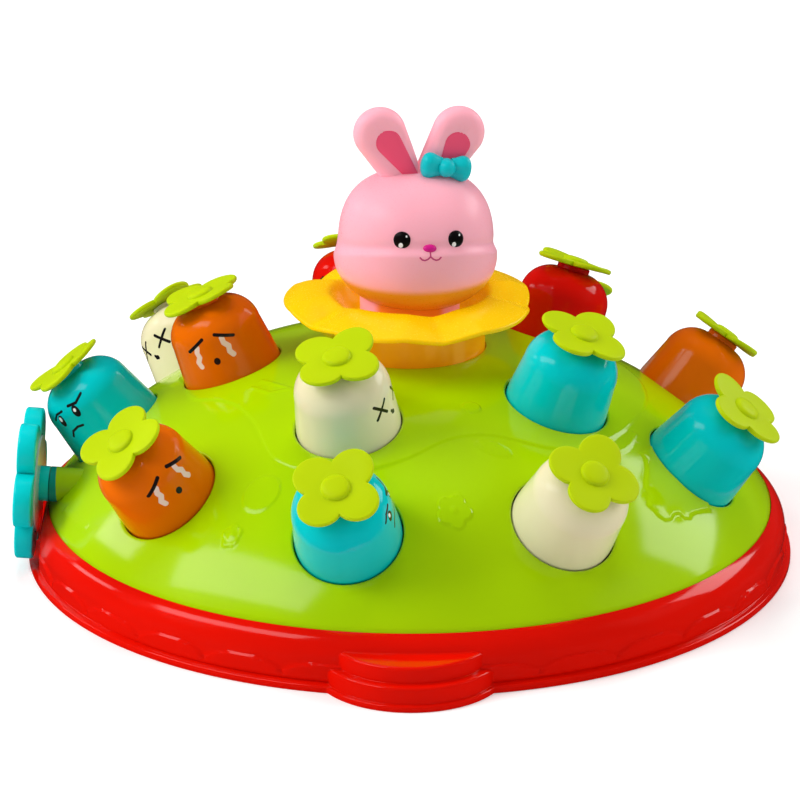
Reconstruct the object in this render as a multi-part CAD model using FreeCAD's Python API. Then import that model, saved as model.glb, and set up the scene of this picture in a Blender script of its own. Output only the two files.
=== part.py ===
import FreeCAD
import Part
import math
import os

# A whack-a-mole toy for small children: a red base ring, a domed green cover with two rings of
# bell-shaped push buttons that stand square to the dome, a lit column with a flower, and a
# rabbit's head on the flower that is a push button too. A flower on the left side turns on a pin.
# Millimetres, +Z up, the front is -Y. The origin is the centre of the ring that stands on the floor.

V = FreeCAD.Vector
Z_AXIS = V(0, 0, 1)
Y_AXIS = V(0, 1, 0)

# Base ring
WALL_RADIUS = 157.3
LIP_WIDTH = 2.7
LIP_RADIUS = WALL_RADIUS + LIP_WIDTH
LIP_HEIGHT = 2.6
LIP_STEP = 1.0
WALL_THICKNESS = 2.5
WALL_HEIGHT = 11.0
SHOULDER_BULGE = V(2.0, 0, 7.4)
SHOULDER_WIDTH = 6.4
RIM_RADIUS = WALL_RADIUS - SHOULDER_WIDTH
RIM_HEIGHT = 22.0
SEAM_GAP = 0.3
LEDGE_TOP = 15.8
LEDGE_THICKNESS = 2.3
LEDGE_WIDTH = 13.9
COVER_LEDGE_WIDTH = 3.8
COVER_LEDGE_THICKNESS = 2.0

# Front step of the base ring: radius and top of each tier, widest first
STEP_INSET = 19.8
STEP_CENTRE = V(0, STEP_INSET - WALL_RADIUS, 0)
STEP_RADII = (36.8, 35.2, 31.6)
STEP_TOPS = (LIP_HEIGHT, 9.3, 15.8)
STEP_WALL = 2.4

# Dome cover: four arcs that run into each other, from the crown outwards. Each has the share of
# the rim's radius where it ends and the slope that it has there.
DOME_ARCS = ((0.209, 5.3), (0.492, 18.8), (0.940, 47.0), (1.0, 56.0))
DOME_THICKNESS = 2.4
SCREW_BOSS_RADIUS = 4.0
SCREW_INSET = 9.4
SCREW_CIRCLE_RADIUS = RIM_RADIUS - SCREW_INSET

# Bottom cover
COVER_UNDERSIDE = 1.6
COVER_THICKNESS = 2.4
COVER_GAP = 0.3
COVER_RIB_HEIGHT = 2.0
COVER_RIB_WIDTH = 1.6
COVER_RIB_INSET = 27.3
COVER_RIB_RADIUS = WALL_RADIUS - COVER_RIB_INSET

# Buttons: two rings that stand about square to the dome
OUTER_RING_INSET = 27.5
RING_PITCH = 49.2
OUTER_RING = {"radius": RIM_RADIUS - OUTER_RING_INSET, "count": 9, "first": -21.2, "lean": 0.0}
INNER_RING = {"radius": OUTER_RING["radius"] - RING_PITCH, "count": 5, "first": -37.2, "lean": 3.0}
HOLE_RADIUS = 21.4
BUTTON_GAP = 0.6
BUTTON_RISE = 28.2
BUTTON_CROWN = 0.9
BUTTON_SEAT_HEIGHT = 2.1
BUTTON_TOP_RADIUS = 19.2
BUTTON_SHOULDER_HEIGHT = 15.5
BUTTON_SEAT_RADIUS = 7.0
BUTTON_WALL = 2.0
BUTTON_TRAVEL = 10.0
COLLAR_DEPTH = 12.0
COLLAR_THICKNESS = 1.8
FLANGE_RADIUS = 22.6
FLANGE_THICKNESS = 2.2
STOP_GAP = 0.3
STEM_RADIUS = 5.0
STEM_LENGTH = 36.0
STEM_CLEARANCE = 0.08
SPRING_SHOULDER_RADIUS = 8.4
SPRING_SHOULDER_DEPTH = 3.0
SPRING_SHOULDER_THICKNESS = 2.0
SPRING_OUTER_RADIUS = 7.8
SPRING_WIRE = 1.0
PAD_RADIUS = 4.6
PAD_THICKNESS = 3.0
PAD_GAP = 0.4

# Leaf on each button
LEAF_LOBES = 4
LEAF_LOBE_RADIUS = 9.2
LEAF_LOBE_OFFSET = 9.2
LEAF_THICKNESS = 2.0
LEAF_LIFT = 1.6
LEAF_BOSS_RADIUS = 5.4
LEAF_BOSS_HEIGHT = 1.3
LEAF_PEG_RADIUS = 2.6
LEAF_PEG_LENGTH = 5.0
PEG_CLEARANCE = 0.05
LEAF_TURNS_OUTER = (72, 15, 12, 40, 70, 76, 34, 62, 52)
LEAF_TURNS_INNER = (10, 0, 48, 45, 72)

# Button frame: a plate with a guide post under each button
FRAME_PLATE_THICKNESS = 2.2
FRAME_PLATE_INSET = 11.4
FRAME_PLATE_RADIUS = OUTER_RING["radius"] - FRAME_PLATE_INSET
POST_RADIUS = 8.2
POST_TOP_DEPTH = 24.0

# Lit column
COLUMN_RADIUS = 31.2
COLUMN_WALL = 2.2
COLUMN_RISE = 16.5
COLUMN_DEPTH = 15.5
COLUMN_HOLE_GAP = 0.3
COLUMN_CAP_THICKNESS = 2.4
COLUMN_FLANGE_WIDTH = 7.0
COLUMN_FLANGE_THICKNESS = 2.4
COLUMN_SEAT_DEPTH = 4.0
COLUMN_SEAT_WIDTH = 8.5
COLUMN_SCREWS = 3
FLOOR_THICKNESS = 2.2
FLOOR_SPIGOT = 1.0
FLOOR_GAP = 0.1

# Flower dish
DISH_PETALS = 5
DISH_FIRST_PETAL = 30.0
DISH_LOBE_OFFSET = 14.0
DISH_LOBE_RADIUS = 38.0
DISH_THICKNESS = 2.0
DISH_HOLE_GAP = 0.5
DISH_FLOOR_RADIUS = 27.0
DISH_CREST_RADIUS = 37.5
DISH_CREST_RISE = 13.0
DISH_TIP_DROP = 6.5

# Rabbit
HEAD_RISE = 26.7
CHEEK_RADIUS = 32.9
CHEEK_HALF_HEIGHT = 19.6
CHEEK_PITCH = 11.0
SKULL_RADIUS = 31.9
SKULL_RISE = 4.6
HEAD_WALL = 2.6
HEAD_YAW = 10.0
HEAD_LEAN = 1.6
HEAD_LEAN_DEPTH = 54.0
NECK_RADIUS = 20.5
NECK_WALL = 2.0
NECK_CLEARANCE = 0.08
NECK_DEPTH = 14.0
NECK_RISE = 18.0
GUIDE_LENGTH = 18.5
NECK_FLOOR = 2.4
RABBIT_TRAVEL = 4.0
RABBIT_STEM_RADIUS = 4.0
RABBIT_STEM_REACH = 7.5
CLIP_RADIUS = 7.0
CLIP_THICKNESS = 1.2
CLIP_GROOVE = 0.8
EAR_SPREAD = 2.2
EAR_RISE = 22.7
EAR_TILT = 29.5
EAR_BASE_RADIUS = 6.5
EAR_LOBE_RADIUS = 10.7
EAR_LOBE_HEIGHT = 28.4
EAR_THICKNESS = 10.0
EAR_ROUNDING = 4.6
EAR_INSERT_LOBE_RADIUS = 5.2
EAR_INSERT_LOBE_HEIGHT = 24.0
EAR_INSERT_TIP_HEIGHT = 8.0
EAR_INSERT_TIP_RADIUS = 3.0
EAR_INSERT_SHIFT = 2.4
EAR_INSERT_DEPTH = 0.3
INSERT_GAP = 0.05
BOW_OFFSET = V(10.2, -6.6, 11.9)
BOW_LOBE = (4.9, 3.4)
BOW_LOBE_OFFSET = 6.4
BOW_KNOT_RADIUS = 3.6
BOW_GAP = 0.1
BOW_TILT = 7.0
EYE_SPREAD = 10.8
EYE_RISE = 10.0
EYE_SIZE = (3.65, 2.0)
EYE_SOCKET_DEPTH = 1.0
EYE_TURN = 20.0
NOSE_DROP = 2.7
NOSE_SIZE = (2.1, 3.0)
RABBIT_SPRING_RADIUS = 8.0
RABBIT_SPRING_WIRE = 1.1
RABBIT_SPRING_TURNS = 5

# Turning flower on the left side
SPINNER_INSET = 0.5
SPINNER_SIDE = -21.0
SPINNER_RISE = 11.5
SPINNER_CENTRE = V(SPINNER_INSET - WALL_RADIUS, SPINNER_SIDE, RIM_HEIGHT + SPINNER_RISE)
SPINNER_TILT = 4.0
SPINNER_LOBES = 6
SPINNER_LOBE_OFFSET = 20.5
SPINNER_LOBE_RADIUS = 11.0
SPINNER_THICKNESS = 7.4
SPINNER_HUB_RADIUS = 7.3
SPINNER_HUB_LENGTH = 4.4
SPINNER_GAP = 0.4
MIRROR_RADIUS = 20.0
MIRROR_THICKNESS = 1.2
MIRROR_INSET = 0.6
AXLE_RADIUS = 2.5
AXLE_HEAD_RADIUS = 5.2
AXLE_HEAD_THICKNESS = 1.6
AXLE_CLEARANCE = 0.06
AXLE_LENGTH = 22.0
SOCKET_LENGTH = 17.0
POCKET_DEPTH = 5.4
POCKET_MARGIN = 6.0
POCKET_CLEARANCE = 0.5
POCKET_BACKING = 2.0

# Electric parts
BATTERY_RADIUS = 7.1
BATTERY_LENGTH = 48.6
BATTERY_NIPPLE = (2.6, 1.4)
BATTERY_COUNT = 3
BATTERY_PITCH = 15.0
BATTERY_CONTACT_ROOM = 3.2
BATTERY_WALL = 1.8
BATTERY_ROOM_GAP = 0.5
DOOR_THICKNESS = 1.8
DOOR_LIP = 3.0
DOOR_GAP = 0.25
DOOR_TAB_RADIUS = 5.5
DOOR_GROOVE = (18.0, 1.2, 0.6)
DOOR_GROOVES = 4
DOOR_GROOVE_PITCH = 3.0
DOOR_GROOVE_INSET = 8.0
BOARD_SIZE = (56.0, 44.0, 1.6)
BOARD_POST_HEIGHT = 5.0
BOARD_POST_RADIUS = 2.6
BOARD_POST_INSET = (0.55, 12.0)
BOARD_CHIPS = ((12.0, 12.0, 2.0, -10.0, 4.0), (8.0, 5.0, 1.6, 12.0, -6.0), (6.0, 6.0, 4.5, 16.0, 10.0))
SPEAKER_RADIUS = 18.0
SPEAKER_INSET = 28.9
SPEAKER_ANGLE = 78.8
SPEAKER_FLANGE = 2.0
SPEAKER_CONE_HEIGHT = 5.0
SPEAKER_MAGNET = (9.0, 4.0)
SPEAKER_SLOTS = 5
SPEAKER_SLOT_WIDTH = 1.8
SPEAKER_SLOT_PITCH = 4.6
LAMP_BOARD_THICKNESS = 1.4
LAMP_BOARD_HOLE_RADIUS = 13.0
LAMP_COUNT = 5
LAMP_CIRCLE_RADIUS = 24.2
LAMP_RADIUS = 2.4
LAMP_HEIGHT = 5.0
POWER_POSITION = {"radius": 54.0, "angle": 71.0}
POWER_KNOB = (5.0, 4.0)
POWER_TRAVEL = 5.0
POWER_BODY = (18.0, 9.0, 7.0)
POWER_GAP = 0.3
POWER_PROUD = 1.1

# Screws
SCREW_RADIUS = 1.5
SCREW_HEAD_RADIUS = 3.0
SCREW_HEAD_HEIGHT = 1.4
SCREW_HEAD_GAP = 0.3
COVER_SCREW_BITE = 7.0
COLUMN_SCREW_BITE = 2.0
DOOR_SCREW_BITE = 5.0
FRAME_SCREWS = 4
FRAME_SCREW_INSET = 2.2
FRAME_SCREW_CIRCLE = INNER_RING["radius"] - FRAME_SCREW_INSET
FRAME_SCREW_FIRST = 0.0

# Places that follow from the sizes above
COVER_TOP = COVER_UNDERSIDE + COVER_THICKNESS
WALL_INNER_RADIUS = WALL_RADIUS - WALL_THICKNESS
LEDGE_INNER_RADIUS = RIM_RADIUS - LEDGE_WIDTH
COVER_RADIUS = WALL_INNER_RADIUS - COVER_GAP
BUTTON_RADIUS = HOLE_RADIUS - BUTTON_GAP
FRAME_TOP = COVER_TOP + FRAME_PLATE_THICKNESS
BATTERY_ROOM_X = BATTERY_PITCH * BATTERY_COUNT + BATTERY_ROOM_GAP
BATTERY_ROOM_Y = BATTERY_LENGTH + BATTERY_NIPPLE[1] + 2 * BATTERY_CONTACT_ROOM
DOOR_TOP = COVER_UNDERSIDE + DOOR_THICKNESS
BATTERY_Z = DOOR_TOP + BATTERY_ROOM_GAP + BATTERY_RADIUS
BATTERY_CEILING = BATTERY_Z + BATTERY_RADIUS + BATTERY_ROOM_GAP
BATTERY_TOP = BATTERY_CEILING + BATTERY_WALL
BOARD_Z = BATTERY_TOP + BOARD_POST_HEIGHT
COVER_SCREW_SEAT = COVER_UNDERSIDE + SCREW_HEAD_HEIGHT
DOOR_SCREW_SEAT = DOOR_TOP - 0.7


def dome_arcs():
    """Each arc of the dome's profile: its centre, its radius and its first and last slope."""
    arcs = []
    start_radius = 0.0
    start_slope = 0.0
    height = 0.0
    for share, end_degrees in DOME_ARCS:
        end_radius = share * RIM_RADIUS
        end_slope = math.radians(end_degrees)
        bend = (end_radius - start_radius) / (math.sin(end_slope) - math.sin(start_slope))
        centre = V(end_radius - bend * math.sin(end_slope), 0, height - bend * math.cos(start_slope))
        arcs.append((centre, bend, start_slope, end_slope))
        height -= bend * (math.cos(start_slope) - math.cos(end_slope))
        start_radius = end_radius
        start_slope = end_slope
    lift = V(0, 0, RIM_HEIGHT - height)
    return [(centre + lift, bend, first, last) for centre, bend, first, last in arcs]


def dome_station(radius):
    """Height and slope in degrees of the dome's outer face at this distance from its axis."""
    for centre, bend, _, last in dome_arcs():
        slope = math.asin(min((radius - centre.x) / bend, 1.0))
        if slope <= last:
            break
    return centre.z + bend * math.cos(slope), math.degrees(slope)


# Heights of the column and the rabbit, which stand on the dome's top
COLUMN_SEAT_Z = dome_station(COLUMN_RADIUS + COLUMN_FLANGE_WIDTH)[0] - COLUMN_SEAT_DEPTH
COLUMN_TOP = COLUMN_SEAT_Z + COLUMN_RISE
COLUMN_BOTTOM = COLUMN_SEAT_Z - COLUMN_DEPTH
GUIDE_BOTTOM = COLUMN_TOP - GUIDE_LENGTH
LAMP_BOARD_Z = COLUMN_BOTTOM + FLOOR_SPIGOT
CLIP_TOP = COLUMN_BOTTOM - FLOOR_THICKNESS - STOP_GAP
RABBIT_STEM_BOTTOM = COLUMN_BOTTOM - RABBIT_STEM_REACH
DISH_CREST_HEIGHT = COLUMN_TOP + DISH_CREST_RISE
DISH_TIP_HEIGHT = DISH_CREST_HEIGHT - DISH_TIP_DROP
NECK_BOTTOM = COLUMN_TOP - NECK_DEPTH
NECK_TOP = COLUMN_TOP + NECK_RISE
HEAD_BOTTOM = COLUMN_TOP + DISH_THICKNESS + RABBIT_TRAVEL + STOP_GAP
HEAD_CENTRE = COLUMN_TOP + HEAD_RISE
SKULL_CENTRE = HEAD_CENTRE + SKULL_RISE
EYE_HEIGHT = SKULL_CENTRE + EYE_RISE
NOSE_HEIGHT = EYE_HEIGHT - NOSE_DROP
EAR_BASE = SKULL_CENTRE + EAR_RISE
BOW_CENTRE = V(0, 0, EAR_BASE) + BOW_OFFSET


def polar(radius, angle, z=0.0):
    turn = math.radians(angle)
    return V(radius * math.cos(turn), radius * math.sin(turn), z)


def cylinder(radius, bottom, top, centre=V(0, 0, 0)):
    return Part.makeCylinder(radius, top - bottom, V(centre.x, centre.y, bottom))


def tube(outer, inner, bottom, top, centre=V(0, 0, 0)):
    return cylinder(outer, bottom, top, centre).cut(cylinder(inner, bottom - 1, top + 1, centre))


def box(size_x, size_y, bottom, top, centre=V(0, 0, 0)):
    corner = V(centre.x - size_x / 2, centre.y - size_y / 2, bottom)
    return Part.makeBox(size_x, size_y, top - bottom, corner)


def revolve(edges):
    """A closed profile in the XZ plane, turned once round Z."""
    return Part.Face(Part.Wire(edges)).revolve(V(0, 0, 0), Z_AXIS, 360)


def polyline(points):
    """Straight edges through (radius, height) pairs, in the XZ plane."""
    places = [V(r, 0, z) for r, z in points]
    return [Part.LineSegment(a, b).toShape() for a, b in zip(places, places[1:])]


def spline(points):
    curve = Part.BSplineCurve()
    curve.interpolate([V(r, 0, z) for r, z in points])
    return curve.toShape()


def oval_disc(radius, half_height):
    """Flattened ball round Z: a wide arc over each pole, blended into a tight arc at the rim."""
    rim = 1.12 * half_height ** 2 / radius
    reach = radius - rim
    wide = (reach ** 2 + half_height ** 2 - rim ** 2) / (2 * (half_height - rim))
    drop = wide - half_height
    turn = math.atan2(reach, drop)
    joint = V(wide * math.sin(turn), 0, wide * math.cos(turn) - drop)
    middle = V(wide * math.sin(turn / 2), 0, wide * math.cos(turn / 2) - drop)
    pole = V(0, 0, half_height)
    edges = [
        Part.Arc(pole, middle, joint).toShape(),
        Part.Arc(joint, V(radius, 0, 0), V(joint.x, 0, -joint.z)).toShape(),
        Part.Arc(V(joint.x, 0, -joint.z), V(middle.x, 0, -middle.z), -pole).toShape(),
        Part.LineSegment(-pole, pole).toShape(),
    ]
    return revolve(edges)


def union(shapes):
    return shapes[0].multiFuse(shapes[1:]) if len(shapes) > 1 else shapes[0]


def placed(shape, placement):
    moved = shape.copy()
    moved.Placement = placement.multiply(moved.Placement)
    return moved


def lobed_outline(lobes, offset, radius, first=0.0):
    """Outline of equal round lobes set evenly about the origin, as a face in the XY plane."""
    half = math.radians(180.0 / lobes)
    notch = offset * math.cos(half) + math.sqrt(radius ** 2 - (offset * math.sin(half)) ** 2)
    step = 360.0 / lobes
    edges = []
    for index in range(lobes):
        angle = first + index * step
        start = polar(notch, angle - step / 2)
        end = polar(notch, angle + step / 2)
        edges.append(Part.Arc(start, polar(offset + radius, angle), end).toShape())
    return Part.Face(Part.Wire(edges))


def button_places(ring):
    """Placement of each button of a ring: origin on the dome, local Z along its travel."""
    height, slope = dome_station(ring["radius"])
    tilt = slope + ring["lean"]
    places = []
    for index in range(ring["count"]):
        angle = ring["first"] + index * 360.0 / ring["count"]
        turn = FreeCAD.Rotation(Z_AXIS, angle).multiply(FreeCAD.Rotation(Y_AXIS, tilt))
        spot = polar(ring["radius"], angle, height)
        places.append(FreeCAD.Placement(spot, turn))
    return places


def all_places():
    return button_places(OUTER_RING) + button_places(INNER_RING)


def screw_angles():
    """Cover screws stand between the outer buttons; every third gap has none."""
    step = 360.0 / OUTER_RING["count"]
    middle = OUTER_RING["first"] + step / 2
    return [middle + index * step for index in range(OUTER_RING["count"]) if index % 3 != 2]


def screw(seat, tip, spot):
    """Screw whose head lies against a seat, with its tip above or below it."""
    side = 1 if tip > seat else -1
    head_end = seat - side * SCREW_HEAD_HEIGHT
    head = cylinder(SCREW_HEAD_RADIUS, min(seat, head_end), max(seat, head_end), spot)
    shank = cylinder(SCREW_RADIUS, min(seat, tip), max(seat, tip), spot)
    return head.fuse(shank).removeSplitter()


def screw_hole(bottom, top, spot):
    return cylinder(SCREW_RADIUS, bottom, top, spot)


def on_arc(centre, radius, slope):
    return centre + V(math.sin(slope), 0, math.cos(slope)) * radius


def dome_body(inset, floor):
    """Everything under the dome's face, moved square inwards by an inset, down to a floor."""
    edges = []
    for centre, bend, first, last in dome_arcs():
        ends = [on_arc(centre, bend - inset, slope) for slope in (first, (first + last) / 2, last)]
        edges.append(Part.Arc(*ends).toShape())
        if first == 0.0:
            crown = ends[0]
    rim = ends[-1]
    edges += polyline([(rim.x, rim.z), (rim.x, floor), (0, floor), (0, crown.z)])
    return revolve(edges)


def base_ring():
    """Red ring: standing lip, upright wall, rounded shoulder, ledges and the front step."""
    inner = RIM_RADIUS + SEAM_GAP
    ledge_under = LEDGE_TOP - LEDGE_THICKNESS
    wall_top = V(WALL_RADIUS, 0, WALL_HEIGHT)
    shoulder_mid = V(WALL_RADIUS - SHOULDER_BULGE.x, 0, WALL_HEIGHT + SHOULDER_BULGE.z)
    shoulder_end = V(inner, 0, RIM_HEIGHT)
    outside = polyline([(LIP_RADIUS, 0), (LIP_RADIUS, LIP_HEIGHT), (WALL_RADIUS, LIP_HEIGHT + LIP_STEP)])
    outside.append(Part.LineSegment(V(WALL_RADIUS, 0, LIP_HEIGHT + LIP_STEP), wall_top).toShape())
    outside.append(Part.Arc(wall_top, shoulder_mid, shoulder_end).toShape())
    cover_ledge_inner = WALL_INNER_RADIUS - COVER_LEDGE_WIDTH
    cover_ledge_top = COVER_TOP + COVER_LEDGE_THICKNESS
    inside = polyline([
        (inner, RIM_HEIGHT),
        (inner, LEDGE_TOP),
        (LEDGE_INNER_RADIUS, LEDGE_TOP),
        (LEDGE_INNER_RADIUS, ledge_under),
        (WALL_INNER_RADIUS, ledge_under),
        (WALL_INNER_RADIUS, cover_ledge_top),
        (cover_ledge_inner, cover_ledge_top),
        (cover_ledge_inner, COVER_TOP),
        (WALL_INNER_RADIUS, COVER_TOP),
        (WALL_INNER_RADIUS, 0),
        (LIP_RADIUS, 0),
    ])
    ring = revolve(outside + inside)
    tiers = [cylinder(radius, 0, top, STEP_CENTRE) for radius, top in zip(STEP_RADII, STEP_TOPS)]
    hollow_tiers = [
        cylinder(radius - STEP_WALL, -1, top - STEP_WALL, STEP_CENTRE)
        for radius, top in list(zip(STEP_RADII, STEP_TOPS))[1:]
    ]
    step = union(tiers).cut(union(hollow_tiers)).cut(cylinder(WALL_INNER_RADIUS, -1, RIM_HEIGHT))
    ring = ring.fuse(step)
    for angle in screw_angles():
        centre = polar(SCREW_CIRCLE_RADIUS, angle)
        ring = ring.fuse(cylinder(SCREW_BOSS_RADIUS, COVER_TOP, ledge_under, centre))
        ring = ring.cut(screw_hole(0, RIM_HEIGHT, centre))
    return spinner_pocket(ring).removeSplitter()


def spinner_pocket(ring):
    """Flat on the ring's side that the turning flower clears, with the wall kept behind it."""
    half = SPINNER_LOBE_OFFSET + SPINNER_LOBE_RADIUS + POCKET_MARGIN
    pocket_x = SPINNER_CENTRE.x + POCKET_DEPTH
    reach = SPINNER_LOBE_OFFSET + SPINNER_LOBE_RADIUS
    floor = SPINNER_CENTRE.z - spinner_drop(reach) - POCKET_CLEARANCE
    centre = V(pocket_x + POCKET_BACKING / 2, SPINNER_CENTRE.y, 0)
    backing = box(POCKET_BACKING, 2 * half, COVER_TOP + COVER_LEDGE_THICKNESS, LEDGE_TOP, centre)
    backing = backing.common(cylinder(WALL_RADIUS - 0.5, 0, RIM_HEIGHT))
    outside = V(pocket_x - LIP_RADIUS / 2, SPINNER_CENTRE.y, 0)
    cutter = box(LIP_RADIUS, 2 * half, floor, RIM_HEIGHT + 1, outside)
    return ring.fuse(backing).cut(cutter)


def dome_cover():
    """Green dome: even wall, skirt, guide collars, column seat and screw bosses."""
    crown = dome_body(0.0, LEDGE_TOP).BoundBox.ZMax
    shell = dome_body(0.0, LEDGE_TOP).cut(dome_body(DOME_THICKNESS, LEDGE_TOP - 1))
    inside = [cylinder(COLUMN_RADIUS + COLUMN_SEAT_WIDTH, COLUMN_SEAT_Z, crown)]
    holes = [cylinder(COLUMN_RADIUS + COLUMN_HOLE_GAP, 0, 2 * crown)]
    for place in all_places():
        collar = cylinder(HOLE_RADIUS + COLLAR_THICKNESS, -COLLAR_DEPTH, COLLAR_DEPTH)
        inside.append(placed(collar, place))
        holes.append(placed(cylinder(HOLE_RADIUS, -2 * COLLAR_DEPTH, 2 * COLLAR_DEPTH), place))
    for angle in screw_angles():
        spot = polar(SCREW_CIRCLE_RADIUS, angle)
        inside.append(cylinder(SCREW_BOSS_RADIUS, LEDGE_TOP, crown, spot))
        holes.append(screw_hole(0, LEDGE_TOP + COVER_SCREW_BITE + 1, spot))
    for spot in column_screw_spots():
        holes.append(screw_hole(0, COLUMN_SEAT_Z + COLUMN_SCREW_BITE + 0.5, spot))
    socket_hole = cylinder(SPINNER_HUB_RADIUS, 0, 2 * SOCKET_LENGTH)
    holes.append(placed(socket_hole, spinner_place()))
    core = dome_body(DOME_THICKNESS / 2, LEDGE_TOP)
    return shell.fuse(union(inside).common(core)).cut(union(holes)).removeSplitter()


def column_screw_spots():
    radius = COLUMN_RADIUS + COLUMN_FLANGE_WIDTH / 2
    return [polar(radius, 60 + index * 360.0 / COLUMN_SCREWS) for index in range(COLUMN_SCREWS)]


def speaker_centre():
    return polar(RIM_RADIUS - SPEAKER_INSET, SPEAKER_ANGLE)


def power_centre():
    return polar(POWER_POSITION["radius"], POWER_POSITION["angle"])


def switch_body_centre():
    return power_centre() + V(POWER_TRAVEL / 2, 0, 0)


def board_post_spots():
    half_x = BATTERY_ROOM_X / 2 + BATTERY_WALL - BOARD_POST_INSET[0]
    half_y = BATTERY_ROOM_Y / 2 + BATTERY_WALL - BOARD_POST_INSET[1]
    return [V(x, y, 0) for x in (-half_x, half_x) for y in (-half_y, half_y)]


def frame_screw_spots():
    step = 360.0 / FRAME_SCREWS
    return [polar(FRAME_SCREW_CIRCLE, FRAME_SCREW_FIRST + i * step) for i in range(FRAME_SCREWS)]


def door_tab_centre():
    return V(0, -(BATTERY_ROOM_Y / 2 + DOOR_LIP + DOOR_TAB_RADIUS / 2), 0)


def bottom_cover():
    """Red plate that closes the base from below, with the battery room and the speaker slots."""
    speaker_room = cylinder(SPEAKER_RADIUS + 1, 0, RIM_HEIGHT, speaker_centre())
    rib_top = COVER_TOP + COVER_RIB_HEIGHT
    rib = tube(COVER_RIB_RADIUS, COVER_RIB_RADIUS - COVER_RIB_WIDTH, COVER_TOP, rib_top).cut(speaker_room)
    wall = 2 * BATTERY_WALL
    tub = box(BATTERY_ROOM_X + wall, BATTERY_ROOM_Y + wall, COVER_UNDERSIDE, BATTERY_TOP)
    posts = [cylinder(BOARD_POST_RADIUS, BATTERY_CEILING + 1, BOARD_Z, spot) for spot in board_post_spots()]
    tab = door_tab_centre()
    tab_boss = cylinder(SCREW_BOSS_RADIUS, COVER_UNDERSIDE, DOOR_TOP + DOOR_SCREW_BITE + 2, tab)
    plate = cylinder(COVER_RADIUS, COVER_UNDERSIDE, COVER_TOP)
    cover = union([plate, rib, tub, tab_boss] + posts)
    cuts = [
        box(BATTERY_ROOM_X, BATTERY_ROOM_Y, 0, BATTERY_CEILING),
        box(BATTERY_ROOM_X + 2 * DOOR_LIP, BATTERY_ROOM_Y + 2 * DOOR_LIP, 0, DOOR_TOP),
        cylinder(DOOR_TAB_RADIUS + DOOR_GAP, 0, DOOR_TOP, tab),
        screw_hole(0, DOOR_TOP + DOOR_SCREW_BITE + 0.5, tab),
    ]
    for index in range(SPEAKER_SLOTS):
        shift = (index - (SPEAKER_SLOTS - 1) / 2) * SPEAKER_SLOT_PITCH
        length = 2 * math.sqrt((SPEAKER_RADIUS - 4) ** 2 - shift ** 2)
        cuts.append(box(length, SPEAKER_SLOT_WIDTH, 0, RIM_HEIGHT, speaker_centre() + V(0, shift, 0)))
    slot_x = POWER_KNOB[0] + POWER_TRAVEL + 2 * POWER_GAP
    cuts.append(box(slot_x, POWER_KNOB[1] + 2 * POWER_GAP, 0, RIM_HEIGHT, switch_body_centre()))
    for angle in screw_angles():
        spot = polar(SCREW_CIRCLE_RADIUS, angle)
        cuts.append(cylinder(SCREW_HEAD_RADIUS + SCREW_HEAD_GAP, 0, COVER_SCREW_SEAT, spot))
        cuts.append(screw_hole(0, RIM_HEIGHT, spot))
    return cover.cut(union(cuts)).removeSplitter()


def bottom_screws():
    """Screws that are reached from below: those of the bottom cover and the one of the door."""
    tip = LEDGE_TOP + COVER_SCREW_BITE
    screws = [screw(COVER_SCREW_SEAT, tip, polar(SCREW_CIRCLE_RADIUS, angle)) for angle in screw_angles()]
    screws.append(screw(DOOR_SCREW_SEAT, DOOR_TOP + DOOR_SCREW_BITE, door_tab_centre()))
    return Part.makeCompound(screws)


def battery_door():
    """Door over the battery room, held by one screw; finger grooves across it."""
    size_x = BATTERY_ROOM_X + 2 * (DOOR_LIP - DOOR_GAP)
    size_y = BATTERY_ROOM_Y + 2 * (DOOR_LIP - DOOR_GAP)
    tab = cylinder(DOOR_TAB_RADIUS, COVER_UNDERSIDE, DOOR_TOP, door_tab_centre())
    door = box(size_x, size_y, COVER_UNDERSIDE, DOOR_TOP).fuse(tab)
    head_seat = cylinder(SCREW_HEAD_RADIUS + SCREW_HEAD_GAP, 0, DOOR_SCREW_SEAT, door_tab_centre())
    door = door.cut(head_seat).cut(screw_hole(0, COVER_TOP, door_tab_centre()))
    length, width, depth = DOOR_GROOVE
    first = size_y / 2 - DOOR_GROOVE_INSET
    grooves = [
        box(length, width, 0, COVER_UNDERSIDE + depth, V(0, first - DOOR_GROOVE_PITCH * index, 0))
        for index in range(DOOR_GROOVES)
    ]
    return door.cut(union(grooves)).removeSplitter()


def batteries():
    solids = []
    for index in range(BATTERY_COUNT):
        x = (index - (BATTERY_COUNT - 1) / 2) * BATTERY_PITCH
        side = 1 if index % 2 == 0 else -1
        start = V(x, -side * (BATTERY_LENGTH + BATTERY_NIPPLE[1]) / 2, BATTERY_Z)
        can = Part.makeCylinder(BATTERY_RADIUS, BATTERY_LENGTH, start, V(0, side, 0))
        tip = start + V(0, side * BATTERY_LENGTH, 0)
        nipple = Part.makeCylinder(BATTERY_NIPPLE[0], BATTERY_NIPPLE[1], tip, V(0, side, 0))
        solids.append(can.fuse(nipple))
    return Part.makeCompound(solids)


def battery_contacts():
    """Metal strips at both ends of the battery room, each with raised touch points."""
    thickness = 0.5
    solids = []
    for side in (-1, 1):
        y = side * (BATTERY_ROOM_Y - thickness) / 2
        strip = box(BATTERY_ROOM_X - 2, thickness, DOOR_TOP + 1, BATTERY_CEILING - 0.6, V(0, y, 0))
        for index in range(BATTERY_COUNT):
            x = (index - (BATTERY_COUNT - 1) / 2) * BATTERY_PITCH
            reach = BATTERY_CONTACT_ROOM - 0.3
            start = V(x, side * BATTERY_ROOM_Y / 2, BATTERY_Z)
            strip = strip.fuse(Part.makeCone(3.4, 2.0, reach, start, V(0, -side, 0)))
        solids.append(strip)
    return Part.makeCompound(solids)


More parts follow.
